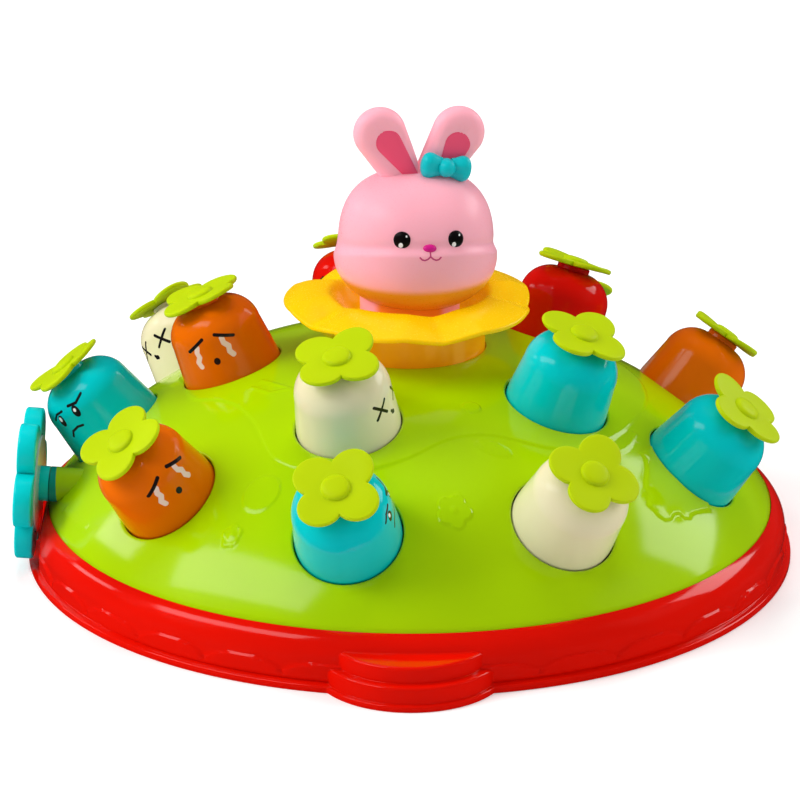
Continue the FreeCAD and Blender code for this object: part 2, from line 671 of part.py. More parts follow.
def main_board():
    board = box(BOARD_SIZE[0], BOARD_SIZE[1], BOARD_Z, BOARD_Z + BOARD_SIZE[2])
    top = BOARD_Z + BOARD_SIZE[2]
    chips = [box(x, y, top, top + z, V(px, py, 0)) for x, y, z, px, py in BOARD_CHIPS]
    return union([board] + chips)


def speaker():
    """Round speaker that lies face down over the slots."""
    centre = speaker_centre()
    flange = cylinder(SPEAKER_RADIUS, COVER_TOP, COVER_TOP + SPEAKER_FLANGE, centre)
    cone_base = V(centre.x, centre.y, COVER_TOP + SPEAKER_FLANGE)
    cone = Part.makeCone(SPEAKER_RADIUS - 2.5, SPEAKER_MAGNET[0], SPEAKER_CONE_HEIGHT, cone_base)
    top = COVER_TOP + SPEAKER_FLANGE + SPEAKER_CONE_HEIGHT
    magnet = cylinder(SPEAKER_MAGNET[0], top, top + SPEAKER_MAGNET[1], centre)
    return union([flange, cone, magnet]).removeSplitter()


def power_switch():
    """Sliding knob that reaches through the bottom cover."""
    return box(POWER_KNOB[0], POWER_KNOB[1], COVER_UNDERSIDE - POWER_PROUD, COVER_TOP + 3, power_centre())


def power_switch_body():
    centre = switch_body_centre()
    body = box(POWER_BODY[0], POWER_BODY[1], COVER_TOP, COVER_TOP + POWER_BODY[2], centre)
    way_x = POWER_KNOB[0] + POWER_TRAVEL + 2 * POWER_GAP
    way = box(way_x, POWER_KNOB[1] + 2 * POWER_GAP, COVER_TOP - 1, COVER_TOP + 3 + POWER_GAP, centre)
    return body.cut(way)


def button():
    """Bell-shaped push button about its own axis: shell, retaining flange, stem with shoulder."""
    flange_top = -COLLAR_DEPTH - STOP_GAP
    bottom = flange_top - FLANGE_THICKNESS
    shoulder = V(BUTTON_TOP_RADIUS, 0, BUTTON_SHOULDER_HEIGHT)
    crown = V(BUTTON_SEAT_RADIUS, 0, BUTTON_RISE + BUTTON_CROWN)
    bend = V(BUTTON_TOP_RADIUS * 0.80, 0, BUTTON_RISE * 0.895)
    outside = polyline([(FLANGE_RADIUS, bottom), (FLANGE_RADIUS, flange_top), (BUTTON_RADIUS, flange_top)])
    outside.append(Part.LineSegment(V(BUTTON_RADIUS, 0, flange_top), V(BUTTON_RADIUS, 0, 0)).toShape())
    outside.append(Part.LineSegment(V(BUTTON_RADIUS, 0, 0), shoulder).toShape())
    outside.append(Part.Arc(shoulder, bend, crown).toShape())
    outside += polyline([(crown.x, crown.z), (crown.x, leaf_seat()), (0, leaf_seat())])
    wall = BUTTON_WALL
    inner_shoulder = V(BUTTON_TOP_RADIUS - wall, 0, BUTTON_SHOULDER_HEIGHT)
    inner_bend = V((BUTTON_TOP_RADIUS - wall) * 0.79, 0, (BUTTON_RISE - wall) * 0.885)
    inner_top = BUTTON_RISE - wall
    inner_seat = V(BUTTON_SEAT_RADIUS, 0, inner_top)
    shoulder_top = -SPRING_SHOULDER_DEPTH
    shoulder_bottom = shoulder_top - SPRING_SHOULDER_THICKNESS
    inside = polyline([
        (0, leaf_seat()),
        (0, -STEM_LENGTH),
        (STEM_RADIUS - 1, -STEM_LENGTH),
        (STEM_RADIUS, -STEM_LENGTH + 1),
        (STEM_RADIUS, shoulder_bottom),
        (SPRING_SHOULDER_RADIUS, shoulder_bottom),
        (SPRING_SHOULDER_RADIUS, shoulder_top),
        (STEM_RADIUS, shoulder_top),
        (STEM_RADIUS, inner_top),
        (inner_seat.x, inner_top),
    ])
    inside.append(Part.Arc(inner_seat, inner_bend, inner_shoulder).toShape())
    inside += polyline([
        (inner_shoulder.x, inner_shoulder.z),
        (BUTTON_RADIUS - wall, 0),
        (BUTTON_RADIUS - wall, bottom),
        (FLANGE_RADIUS, bottom),
    ])
    solid = revolve(outside + inside)
    peg_bottom = leaf_seat() - LEAF_PEG_LENGTH
    peg_hole = cylinder(LEAF_PEG_RADIUS + PEG_CLEARANCE, peg_bottom - 0.3, leaf_seat() + 1)
    return solid.cut(peg_hole)


def leaf_seat():
    return BUTTON_RISE + BUTTON_CROWN + BUTTON_SEAT_HEIGHT


def leaf():
    """Leaf cap: round lobes on a shallow saddle, a low boss and a peg."""
    reach = LEAF_LOBE_OFFSET + LEAF_LOBE_RADIUS
    bottom = leaf_seat()
    outline = lobed_outline(LEAF_LOBES, LEAF_LOBE_OFFSET, LEAF_LOBE_RADIUS)
    block = outline.extrude(V(0, 0, LEAF_THICKNESS + 2 * LEAF_LIFT))
    block.translate(V(0, 0, bottom))
    lift_radius = (reach ** 2 + LEAF_LIFT ** 2) / (2 * LEAF_LIFT)
    thickness = LEAF_THICKNESS
    lower = trough(lift_radius, bottom, reach)
    upper = trough(lift_radius - thickness, bottom + thickness, reach)
    sheet = block.common(lower).cut(upper)
    boss = Part.makeSphere((LEAF_BOSS_RADIUS ** 2 + LEAF_BOSS_HEIGHT ** 2) / (2 * LEAF_BOSS_HEIGHT))
    boss.translate(V(0, 0, bottom + thickness + LEAF_BOSS_HEIGHT - boss.BoundBox.ZMax))
    boss = boss.common(cylinder(LEAF_BOSS_RADIUS, bottom + 0.5 * thickness, bottom + 4 * thickness))
    peg = cylinder(LEAF_PEG_RADIUS, bottom - LEAF_PEG_LENGTH, bottom + 0.5 * thickness)
    return union([sheet, boss, peg]).removeSplitter()


def trough(radius, bottom, reach):
    """Long round bar whose lowest line touches a height, to bend a leaf with."""
    start = V(-2 * reach, 0, bottom + radius)
    return Part.makeCylinder(radius, 4 * reach, start, V(1, 0, 0))


def button_springs():
    """Return springs of all buttons, each a plain sleeve of the coil's own diameters."""
    top = -SPRING_SHOULDER_DEPTH - SPRING_SHOULDER_THICKNESS
    sleeve = tube(SPRING_OUTER_RADIUS, SPRING_OUTER_RADIUS - SPRING_WIRE, -POST_TOP_DEPTH, top)
    return Part.makeCompound([placed(sleeve, place) for place in all_places()])


def pad_top():
    return -STEM_LENGTH - BUTTON_TRAVEL - PAD_GAP


def button_pads():
    """Rubber contact pads at the bottom of the guide posts."""
    pad = cylinder(PAD_RADIUS, pad_top() - PAD_THICKNESS, pad_top())
    return Part.makeCompound([placed(pad, place) for place in all_places()])


def button_frame():
    """Plate on the bottom cover with one slanted guide post under each button."""
    plate = cylinder(FRAME_PLATE_RADIUS, COVER_TOP, FRAME_TOP)
    posts = []
    bores = []
    for place in all_places():
        depth = place.Base.z / place.Rotation.multVec(Z_AXIS).z + POST_RADIUS
        posts.append(placed(cylinder(POST_RADIUS, -depth, -POST_TOP_DEPTH), place))
        bore = cylinder(STEM_RADIUS + STEM_CLEARANCE, pad_top() - PAD_THICKNESS, 0)
        bores.append(placed(bore, place))
    above = cylinder(LIP_RADIUS, COVER_TOP, LIP_RADIUS)
    frame = union([plate] + posts).common(above)
    wall = 2 * BATTERY_WALL + 2 * COVER_GAP
    tub = box(BATTERY_ROOM_X + wall, BATTERY_ROOM_Y + wall, 0, BATTERY_TOP)
    switch = box(POWER_BODY[0] + 1, POWER_BODY[1] + 1, 0, FRAME_TOP + 1, switch_body_centre())
    speaker_room = cylinder(SPEAKER_RADIUS + 1, 0, FRAME_TOP + 1, speaker_centre())
    tab_room = cylinder(SCREW_BOSS_RADIUS + COVER_GAP, 0, FRAME_TOP + 1, door_tab_centre())
    holes = [screw_hole(0, FRAME_TOP + 1, spot) for spot in frame_screw_spots()]
    return frame.cut(union(bores + holes + [tub, switch, speaker_room, tab_room])).removeSplitter()


def inner_screws():
    """Screws inside: those of the button frame and those of the column's flange."""
    screws = [screw(FRAME_TOP, COVER_TOP, spot) for spot in frame_screw_spots()]
    seat = COLUMN_SEAT_Z - COLUMN_FLANGE_THICKNESS
    screws += [screw(seat, COLUMN_SEAT_Z + COLUMN_SCREW_BITE, spot) for spot in column_screw_spots()]
    return Part.makeCompound(screws)


def light_column():
    """Clear orange tube with a cap that guides the rabbit's neck and a flange under the dome."""
    body = tube(COLUMN_RADIUS, COLUMN_RADIUS - COLUMN_WALL, COLUMN_BOTTOM, COLUMN_TOP)
    bore = NECK_RADIUS + NECK_CLEARANCE
    cap = tube(COLUMN_RADIUS, bore, COLUMN_TOP - COLUMN_CAP_THICKNESS, COLUMN_TOP)
    guide = tube(bore + COLUMN_WALL, bore, GUIDE_BOTTOM, COLUMN_TOP)
    flange_bottom = COLUMN_SEAT_Z - COLUMN_FLANGE_THICKNESS
    flange_radius = COLUMN_RADIUS + COLUMN_FLANGE_WIDTH
    flange = tube(flange_radius, COLUMN_RADIUS - COLUMN_WALL, flange_bottom, COLUMN_SEAT_Z)
    column = union([body, cap, guide, flange])
    holes = [screw_hole(COLUMN_BOTTOM, COLUMN_TOP, spot) for spot in column_screw_spots()]
    return column.cut(union(holes)).removeSplitter()


def column_floor():
    """Lid that closes the column from below, with a spigot and a guide for the rabbit's stem."""
    disc = cylinder(COLUMN_RADIUS, COLUMN_BOTTOM - FLOOR_THICKNESS, COLUMN_BOTTOM)
    spigot = cylinder(COLUMN_RADIUS - COLUMN_WALL - FLOOR_GAP, COLUMN_BOTTOM, LAMP_BOARD_Z)
    boss = cylinder(RABBIT_STEM_RADIUS + 2.2, COLUMN_BOTTOM, LAMP_BOARD_Z + 3)
    bore = cylinder(RABBIT_STEM_RADIUS + STEM_CLEARANCE, 0, COLUMN_TOP)
    return union([disc, spigot, boss]).cut(bore).removeSplitter()


def lamp_board():
    """Ring-shaped board with the lamps that light the column and the switch under the neck."""
    radius = COLUMN_RADIUS - COLUMN_WALL - 3 * FLOOR_GAP
    board = tube(radius, LAMP_BOARD_HOLE_RADIUS, LAMP_BOARD_Z, LAMP_BOARD_Z + LAMP_BOARD_THICKNESS)
    lamps = []
    for index in range(LAMP_COUNT):
        spot = polar(LAMP_CIRCLE_RADIUS, index * 360.0 / LAMP_COUNT, 0)
        top = LAMP_BOARD_Z + LAMP_BOARD_THICKNESS + LAMP_HEIGHT
        lamps.append(cylinder(LAMP_RADIUS, LAMP_BOARD_Z + 0.5, top - LAMP_RADIUS, spot))
        lamps.append(Part.makeSphere(LAMP_RADIUS, V(spot.x, spot.y, top - LAMP_RADIUS)))
    switch_top = NECK_BOTTOM - RABBIT_TRAVEL - PAD_GAP
    switch_spot = V(0, LAMP_BOARD_HOLE_RADIUS + 4.0, 0)
    switch = box(6, 6, LAMP_BOARD_Z + 0.5, switch_top - 2, switch_spot)
    plunger = cylinder(1.8, switch_top - 3, switch_top, switch_spot)
    return union([board, switch, plunger] + lamps).removeSplitter()


def dish_profile_height(radius):
    """Height of the dish's upper face: flat floor, rise to a crest, then a droop to the tips."""
    if radius <= DISH_CREST_RADIUS:
        share = (radius - DISH_FLOOR_RADIUS) / (DISH_CREST_RADIUS - DISH_FLOOR_RADIUS)
        smooth = share * share * (3 - 2 * share)
        floor = COLUMN_TOP + DISH_THICKNESS
        return floor + (DISH_CREST_HEIGHT - floor) * smooth
    reach = DISH_LOBE_OFFSET + DISH_LOBE_RADIUS
    share = (radius - DISH_CREST_RADIUS) / (reach - DISH_CREST_RADIUS)
    return DISH_CREST_HEIGHT - (DISH_CREST_HEIGHT - DISH_TIP_HEIGHT) * share ** 2


def flower_dish():
    """Clear yellow flower: a bowl round the neck whose petals rise to a crest and droop."""
    reach = DISH_LOBE_OFFSET + DISH_LOBE_RADIUS
    radii = [DISH_FLOOR_RADIUS + (reach + 1 - DISH_FLOOR_RADIUS) * i / 9 for i in range(10)]
    upper = [(r, dish_profile_height(min(r, reach))) for r in radii]
    lower = [(r, z - 1.25 * DISH_THICKNESS) for r, z in upper if r > COLUMN_RADIUS + 1.5]
    hole = NECK_RADIUS + DISH_HOLE_GAP
    edges = [spline(upper)]
    edges += polyline([upper[-1], lower[-1]])
    edges.append(spline(list(reversed(lower))))
    hub = [(COLUMN_RADIUS, COLUMN_TOP), (hole, COLUMN_TOP), (hole, upper[0][1])]
    edges += polyline([lower[0]] + hub + [upper[0]])
    bowl = revolve(edges)
    outline = lobed_outline(DISH_PETALS, DISH_LOBE_OFFSET, DISH_LOBE_RADIUS, DISH_FIRST_PETAL)
    prism = outline.extrude(V(0, 0, DISH_CREST_HEIGHT))
    prism.translate(V(0, 0, COLUMN_TOP - 5))
    return bowl.common(prism)


def head_place():
    """Turns the rabbit's head to one side and leans it a little about the flower's floor."""
    yaw = FreeCAD.Placement(V(0, 0, 0), FreeCAD.Rotation(Z_AXIS, HEAD_YAW))
    pivot = V(0, 0, COLUMN_TOP - HEAD_LEAN_DEPTH)
    lean = FreeCAD.Placement(V(0, 0, 0), FreeCAD.Rotation(Y_AXIS, HEAD_LEAN), pivot)
    return lean.multiply(yaw)


def head_form(shrink):
    """Skull ball and flattened cheek body that is pitched up at the face."""
    skull = Part.makeSphere(SKULL_RADIUS - shrink, V(0, 0, SKULL_CENTRE))
    cheeks = oval_disc(CHEEK_RADIUS - shrink, CHEEK_HALF_HEIGHT - shrink)
    cheeks.rotate(V(0, 0, 0), V(1, 0, 0), -CHEEK_PITCH)
    cheeks.translate(V(0, 0, HEAD_CENTRE))
    return skull.fuse(cheeks)


def rabbit_head():
    """Hollow head, with seats for the ears and the face pieces; it sits on the neck."""
    shell = head_form(0.0).cut(head_form(HEAD_WALL))
    shell = shell.cut(union([ear_form(side) for side in (-1, 1)]))
    shell = shell.cut(rabbit_eyes_local()).cut(rabbit_nose_local())
    shell = placed(shell, head_place())
    shell = shell.cut(cylinder(CHEEK_RADIUS, COLUMN_TOP, HEAD_BOTTOM))
    return shell.cut(cylinder(NECK_RADIUS, NECK_BOTTOM, NECK_TOP))


def rabbit_neck():
    """Neck tube that slides in the column's guide, with a closed bottom and a stem."""
    walls = tube(NECK_RADIUS, NECK_RADIUS - NECK_WALL, NECK_BOTTOM, NECK_TOP)
    floor = cylinder(NECK_RADIUS, NECK_BOTTOM, NECK_BOTTOM + NECK_FLOOR)
    stem = cylinder(RABBIT_STEM_RADIUS, RABBIT_STEM_BOTTOM, NECK_BOTTOM + 1)
    clip_z = CLIP_TOP - CLIP_THICKNESS
    groove = tube(RABBIT_STEM_RADIUS + 1, RABBIT_STEM_RADIUS - CLIP_GROOVE, clip_z, CLIP_TOP)
    return union([walls, floor, stem]).cut(groove).removeSplitter()


def stem_clip():
    """Clip in the stem's groove that keeps the rabbit from being pulled out."""
    ring = tube(CLIP_RADIUS, RABBIT_STEM_RADIUS - CLIP_GROOVE, CLIP_TOP - CLIP_THICKNESS, CLIP_TOP)
    mouth = box(3.0, CLIP_RADIUS, COLUMN_BOTTOM - 10, COLUMN_BOTTOM, V(0, -CLIP_RADIUS / 2 - 1, 0))
    return ring.cut(mouth)


def drop_outline(low, low_radius, high_radius, rise):
    """Two circles of different radius, one above the other, wrapped by their tangents."""
    turn = math.asin((high_radius - low_radius) / rise)
    high = low + V(0, 0, rise)
    right = V(math.cos(turn), 0, -math.sin(turn))
    left = V(-right.x, 0, right.z)
    high_right = high + right * high_radius
    high_left = high + left * high_radius
    low_right = low + right * low_radius
    low_left = low + left * low_radius
    edges = [
        Part.LineSegment(low_right, high_right).toShape(),
        Part.Arc(high_right, high + Z_AXIS * high_radius, high_left).toShape(),
        Part.LineSegment(high_left, low_left).toShape(),
        Part.Arc(low_left, low - Z_AXIS * low_radius, low_right).toShape(),
    ]
    return Part.Face(Part.Wire(edges))


def ear_place(side):
    return FreeCAD.Placement(V(side * EAR_SPREAD, 0, EAR_BASE), FreeCAD.Rotation(Y_AXIS, side * EAR_TILT))


def ear_form(side):
    """One ear: a flat drop with well rounded edges, tilted outwards."""
    outline = drop_outline(V(0, 0, 0), EAR_BASE_RADIUS, EAR_LOBE_RADIUS, EAR_LOBE_HEIGHT)
    plate = outline.extrude(V(0, EAR_THICKNESS, 0))
    plate.translate(V(0, -EAR_THICKNESS / 2, 0))
    rims = [edge for edge in plate.Edges if abs(edge.CenterOfMass.y) > 0.49 * EAR_THICKNESS]
    return placed(plate.makeFillet(EAR_ROUNDING, rims), ear_place(side))


def insert_prism(side, margin):
    """Drop-shaped prism in front of an ear, which cuts the seat of its inner pad."""
    low = V(EAR_INSERT_SHIFT, 0, EAR_INSERT_TIP_HEIGHT)
    rise = EAR_INSERT_LOBE_HEIGHT - EAR_INSERT_TIP_HEIGHT
    outline = drop_outline(low, EAR_INSERT_TIP_RADIUS + margin, EAR_INSERT_LOBE_RADIUS + margin, rise)
    prism = outline.extrude(V(0, -EAR_THICKNESS, 0))
    prism.translate(V(0, -EAR_THICKNESS * EAR_INSERT_DEPTH, 0))
    return placed(prism, ear_place(side))


def rabbit_ear(side):
    ear = ear_form(side).cut(insert_prism(side, INSERT_GAP))
    ear = ear.cut(rabbit_bow_local())
    return placed(largest(ear), head_place())


def largest(shape):
    return max(shape.Solids, key=lambda solid: solid.Volume)


def inner_ears():
    """Darker pads set into the fronts of both ears."""
    pads = []
    for side in (-1, 1):
        pad = ear_form(side).common(insert_prism(side, 0.0)).cut(rabbit_bow_local())
        pads.append(placed(largest(pad), head_place()))
    return Part.makeCompound(pads)


def rabbit_bow_local():
    """Two flattened balls with a round knot between them."""
    parts = [Part.makeSphere(BOW_KNOT_RADIUS)]
    for side in (-1, 1):
        lobe = oval_disc(*BOW_LOBE)
        lobe.rotate(V(0, 0, 0), V(1, 0, 0), 90)
        lobe.translate(V(side * BOW_LOBE_OFFSET, 0, 0))
        parts.append(lobe)
    bow = union(parts)
    bow.rotate(V(0, 0, 0), Y_AXIS, BOW_TILT)
    bow.translate(BOW_CENTRE)
    return bow


def rabbit_bow():
    """The bow sits against the right ear and follows the head's curve underneath."""
    bow = rabbit_bow_local().cut(head_form(-BOW_GAP))
    return placed(bow, head_place())


def face_front(x, z):
    """Depth of the head's front at a place on the face, from the skull or the cheeks."""
    ray = Part.LineSegment(V(x, 0, z), V(x, -2 * SKULL_RADIUS, z)).toShape()
    inside = head_form(0.0).common(ray)
    return inside.BoundBox.YMin


def rabbit_eyes_local():
    eyes = []
    for side in (-1, 1):
        x = side * EYE_SPREAD
        eye = oval_disc(*EYE_SIZE)
        eye.rotate(V(0, 0, 0), V(1, 0, 0), 90)
        eye.rotate(V(0, 0, 0), Z_AXIS, side * EYE_TURN)
        eye.translate(V(x, face_front(x, EYE_HEIGHT) + EYE_SOCKET_DEPTH, EYE_HEIGHT))
        eyes.append(eye)
    return Part.makeCompound(eyes)


def rabbit_nose_local():
    """A short round bar with ball ends, laid across the face."""
    radius, half_width = NOSE_SIZE
    reach = half_width - radius
    nose = Part.makeCylinder(radius, 2 * reach, V(-reach, 0, 0), V(1, 0, 0))
    nose = union([nose] + [Part.makeSphere(radius, V(side * reach, 0, 0)) for side in (-1, 1)])
    nose.translate(V(0, face_front(0, NOSE_HEIGHT) + 0.8, NOSE_HEIGHT))
    return nose


def arc_from(start, direction, end):
    """Arc that leaves a point in a direction and ends at another point."""
    chord = end - start
    heading = (direction.normalize() + V(chord).normalize()).normalize()
    half_turn = heading.getAngle(chord)
    middle = start + heading * (chord.Length / 2 / math.cos(half_turn))
    return Part.Arc(start, middle, end)


def coil_path(radius, pitch, turns):
    """Coil round Z as pairs of arcs that run into each other, one pair for each quarter turn."""
    rise = pitch / (2 * math.pi)
    edges = []
    for quarter in range(4 * turns):
        angles = [quarter * math.pi / 2, (quarter + 1) * math.pi / 2]
        first, last = [V(radius * math.cos(a), radius * math.sin(a), rise * a) for a in angles]
        leave, arrive = [V(-radius * math.sin(a), radius * math.cos(a), rise).normalize() for a in angles]
        chord = last - first
        along = chord.dot(leave + arrive)
        spread = 2 * (1 - leave.dot(arrive))
        reach = (math.sqrt(along ** 2 + 2 * spread * chord.dot(chord)) - along) / spread
        meet = (first + last + (leave - arrive) * reach) * 0.5
        edges.append(arc_from(first, leave, meet).toShape())
        edges.append(arc_from(meet, chord, last).toShape())
    return Part.Wire(edges)


def rabbit_spring():
    """Coil spring between the column's lid and the neck."""
    bottom = LAMP_BOARD_Z + RABBIT_SPRING_WIRE / 2
    rise = NECK_BOTTOM - LAMP_BOARD_Z - RABBIT_SPRING_WIRE
    path = coil_path(RABBIT_SPRING_RADIUS, rise / RABBIT_SPRING_TURNS, RABBIT_SPRING_TURNS)
    section = Part.Circle(V(RABBIT_SPRING_RADIUS, 0, 0), Y_AXIS, RABBIT_SPRING_WIRE / 2).toShape()
    spring = path.makePipeShell([Part.Wire(section)], True, False)
    spring.translate(V(0, 0, bottom))
    return spring


def spinner_place():
    """Placement of the turning flower: local Z runs inwards along its pin."""
    inwards = FreeCAD.Rotation(Y_AXIS, 90 + SPINNER_TILT)
    return FreeCAD.Placement(SPINNER_CENTRE, inwards)


def spinner_drop(reach):
    """How far below its centre the tilted flower reaches with a lobe pointing down."""
    tilt = math.radians(SPINNER_TILT)
    return reach * math.cos(tilt) + SPINNER_THICKNESS / 2 * math.sin(tilt)


def side_flower():
    """Turning flower with a bore for the pin, a hub towards the dome and a mirror seat."""
    half = SPINNER_THICKNESS / 2
    outline = lobed_outline(SPINNER_LOBES, SPINNER_LOBE_OFFSET, SPINNER_LOBE_RADIUS, 90.0)
    disc = outline.extrude(V(0, 0, SPINNER_THICKNESS))
    disc.translate(V(0, 0, -half))
    hub = cylinder(SPINNER_HUB_RADIUS, 0, half + SPINNER_HUB_LENGTH)
    flower = disc.fuse(hub)
    seat = tube(MIRROR_RADIUS + INSERT_GAP, SPINNER_HUB_RADIUS, half - MIRROR_INSET, half + 1)
    bore = cylinder(AXLE_RADIUS + AXLE_CLEARANCE, -half - 1, half + SPINNER_HUB_LENGTH + 1)
    head_room = cylinder(AXLE_HEAD_RADIUS + 0.4, -half - 1, -half + AXLE_HEAD_THICKNESS)
    flower = flower.cut(seat).cut(bore).cut(head_room).removeSplitter()
    return placed(flower, spinner_place())


def side_mirror():
    """Thin mirror ring on the flower's inner face."""
    bottom = SPINNER_THICKNESS / 2 - MIRROR_INSET
    ring = tube(MIRROR_RADIUS, SPINNER_HUB_RADIUS + INSERT_GAP, bottom, bottom + MIRROR_THICKNESS)
    return placed(ring, spinner_place())


def spinner_socket():
    """Short tube fixed in the dome's side that carries the pin."""
    start = SPINNER_THICKNESS / 2 + SPINNER_HUB_LENGTH + SPINNER_GAP
    socket = tube(SPINNER_HUB_RADIUS, AXLE_RADIUS, start, start + SOCKET_LENGTH)
    return placed(socket, spinner_place())


def spinner_axle():
    """Headed pin: it turns in the flower and is fixed in the socket."""
    outer = -SPINNER_THICKNESS / 2
    head = cylinder(AXLE_HEAD_RADIUS, outer, outer + AXLE_HEAD_THICKNESS - 0.3)
    pin = cylinder(AXLE_RADIUS, outer, outer + AXLE_LENGTH)
    return placed(head.fuse(pin).removeSplitter(), spinner_place())


def leaf_nodes(ring_name, ring, turns):
    nodes = {}
    for index, (place, turn) in enumerate(zip(button_places(ring), turns)):
        spin = FreeCAD.Placement(V(0, 0, 0), FreeCAD.Rotation(Z_AXIS, turn))
        nodes[f"button_{ring_name}_{index + 1}"] = placed(button(), place)
        nodes[f"leaf_{ring_name}_{index + 1}"] = placed(leaf(), place.multiply(spin))
    return nodes


def build():
    nodes = {
        "base_ring": base_ring(),
        "dome_cover": dome_cover(),
        "bottom_cover": bottom_cover(),
        "bottom_screws": bottom_screws(),
        "battery_door": battery_door(),
        "batteries": batteries(),
        "battery_contacts": battery_contacts(),
        "main_board": main_board(),
        "speaker": speaker(),
        "power_switch": power_switch(),
        "power_switch_body": power_switch_body(),
        "button_frame": button_frame(),
        "button_springs": button_springs(),
        "button_pads": button_pads(),
        "light_column": light_column(),
        "inner_screws": inner_screws(),
        "column_floor": column_floor(),
        "lamp_board": lamp_board(),
        "flower_dish": flower_dish(),
        "rabbit_head": rabbit_head(),
        "rabbit_neck": rabbit_neck(),
        "rabbit_ears": Part.makeCompound([rabbit_ear(-1), rabbit_ear(1)]),
        "inner_ears": inner_ears(),
        "rabbit_bow": rabbit_bow(),
        "rabbit_eyes": placed(rabbit_eyes_local(), head_place()),
        "rabbit_nose": placed(rabbit_nose_local(), head_place()),
        "rabbit_spring": rabbit_spring(),
        "stem_clip": stem_clip(),
        "side_flower": side_flower(),
        "side_mirror": side_mirror(),
        "spinner_socket": spinner_socket(),
        "spinner_axle": spinner_axle(),
    }
    nodes.update(leaf_nodes("outer", OUTER_RING, LEAF_TURNS_OUTER))
    nodes.update(leaf_nodes("inner", INNER_RING, LEAF_TURNS_INNER))
    return nodes


os.makedirs("parts", exist_ok=True)
for name, shape in build().items():
    shape.exportStep(f"parts/{name}.step")
    volume = shape.Volume / 1000
    print(f"{name}: {len(shape.Solids)} solid(s), valid {shape.isValid()}, volume {volume:.2f} cm3")
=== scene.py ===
"""Looks for a whack-a-mole toy: a red base ring, a green dome with two rings of bell buttons,
an amber column with a yellow flower dish, a rabbit's head that is a push button, and a side flower
that turns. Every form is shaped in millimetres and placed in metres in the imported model's frame.
"""

import logging
import math
from dataclasses import dataclass, field, replace
from enum import Enum
from typing import Callable, Mapping, Sequence, Union

import bmesh
import bpy
import numpy as np
from mathutils import Matrix, Vector


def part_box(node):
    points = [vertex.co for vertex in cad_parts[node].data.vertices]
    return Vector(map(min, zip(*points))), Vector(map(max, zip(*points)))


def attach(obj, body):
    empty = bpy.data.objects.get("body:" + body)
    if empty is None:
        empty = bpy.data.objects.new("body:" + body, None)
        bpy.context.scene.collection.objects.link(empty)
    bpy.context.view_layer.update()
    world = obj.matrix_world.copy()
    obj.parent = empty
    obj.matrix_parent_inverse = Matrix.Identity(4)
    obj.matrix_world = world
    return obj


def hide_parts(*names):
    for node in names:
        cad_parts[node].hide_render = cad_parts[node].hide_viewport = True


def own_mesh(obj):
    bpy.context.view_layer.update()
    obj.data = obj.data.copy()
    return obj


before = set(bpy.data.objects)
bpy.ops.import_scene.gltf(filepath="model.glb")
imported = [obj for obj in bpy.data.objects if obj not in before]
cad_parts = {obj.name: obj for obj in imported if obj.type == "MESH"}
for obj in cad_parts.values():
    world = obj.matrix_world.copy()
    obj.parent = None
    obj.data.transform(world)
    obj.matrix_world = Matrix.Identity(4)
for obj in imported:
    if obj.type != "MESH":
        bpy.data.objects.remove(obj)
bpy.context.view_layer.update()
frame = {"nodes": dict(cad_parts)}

MM = 0.001
LOG = logging.getLogger("mole_toy")
Colour = tuple[float, float, float]
Point = tuple[float, float]
Triple = tuple[float, float, float]
Number = Union["Value", float]
Rule = Callable[[np.ndarray], np.ndarray]


def srgb(red: int, green: int, blue: int) -> Colour:
    """Turns a colour as it is seen, 0 to 255, into the linear one that shaders use."""
    parts = [value / 255 for value in (red, green, blue)]
    return tuple(p / 12.92 if p <= 0.04045 else ((p + 0.055) / 1.055) ** 2.4 for p in parts)


def toned(colour: Colour, factor: float) -> Colour:
    """A colour made darker or lighter by a factor."""
    return tuple(min(1.0, part * factor) for part in colour)


# ---------------------------------------------------------------- shaders


class Value:
    """A number in a shader. Arithmetic on it adds Math nodes."""

    def __init__(self, shader: "Shader", socket: bpy.types.NodeSocket) -> None:
        """Wraps a socket of a shader."""
        self.shader = shader
        self.socket = socket

    def math(self, operation: str, first: Number, *others: Number) -> "Value":
        """Adds one Math node.

        Args:
            operation: The Math node's operation.
            first: The first input.
            *others: The other inputs.

        Returns:
            The node's result.
        """
        inputs = dict(enumerate((first, *others)))
        node = self.shader.node("ShaderNodeMath", {"operation": operation}, inputs)
        return Value(self.shader, node.outputs[0])

    def __add__(self, other: Number) -> "Value":
        """Sum."""
        return self.math("ADD", self, other)

    def __sub__(self, other: Number) -> "Value":
        """Difference."""
        return self.math("SUBTRACT", self, other)

    def __mul__(self, other: Number) -> "Value":
        """Product."""
        return self.math("MULTIPLY", self, other)

    def __truediv__(self, other: Number) -> "Value":
        """Quotient."""
        return self.math("DIVIDE", self, other)

    def __gt__(self, other: Number) -> "Value":
        """One where this is more than the other, else zero."""
        return self.math("GREATER_THAN", self, other)

    def __lt__(self, other: Number) -> "Value":
        """One where this is less than the other, else zero."""
        return self.math("LESS_THAN", self, other)

    def least(self, other: Number) -> "Value":
        """The smaller of two."""
        return self.math("MINIMUM", self, other)

    def size(self) -> "Value":
        """The number without its sign."""
        return self.math("ABSOLUTE", self)

    def ramp(self, low: float, high: float, start: float = 0.0, end: float = 1.0) -> "Value":
        """Smooth step from one level to another.

        Args:
            low: Where the step starts.
            high: Where the step ends.
            start: The level before it.
            end: The level after it.

        Returns:
            The stepped value.
        """
        inputs = {0: self, 1: low, 2: high, 3: start, 4: end}
        node = self.shader.node("ShaderNodeMapRange", {"interpolation_type": "SMOOTHSTEP"}, inputs)
        return Value(self.shader, node.outputs[0])

    def spread(self, start: float = 0.0, end: float = 1.0) -> "Value":
        """Noise, most of which lies between 0.3 and 0.7, stretched from one level to another."""
        return self.ramp(0.3, 0.7, start, end)


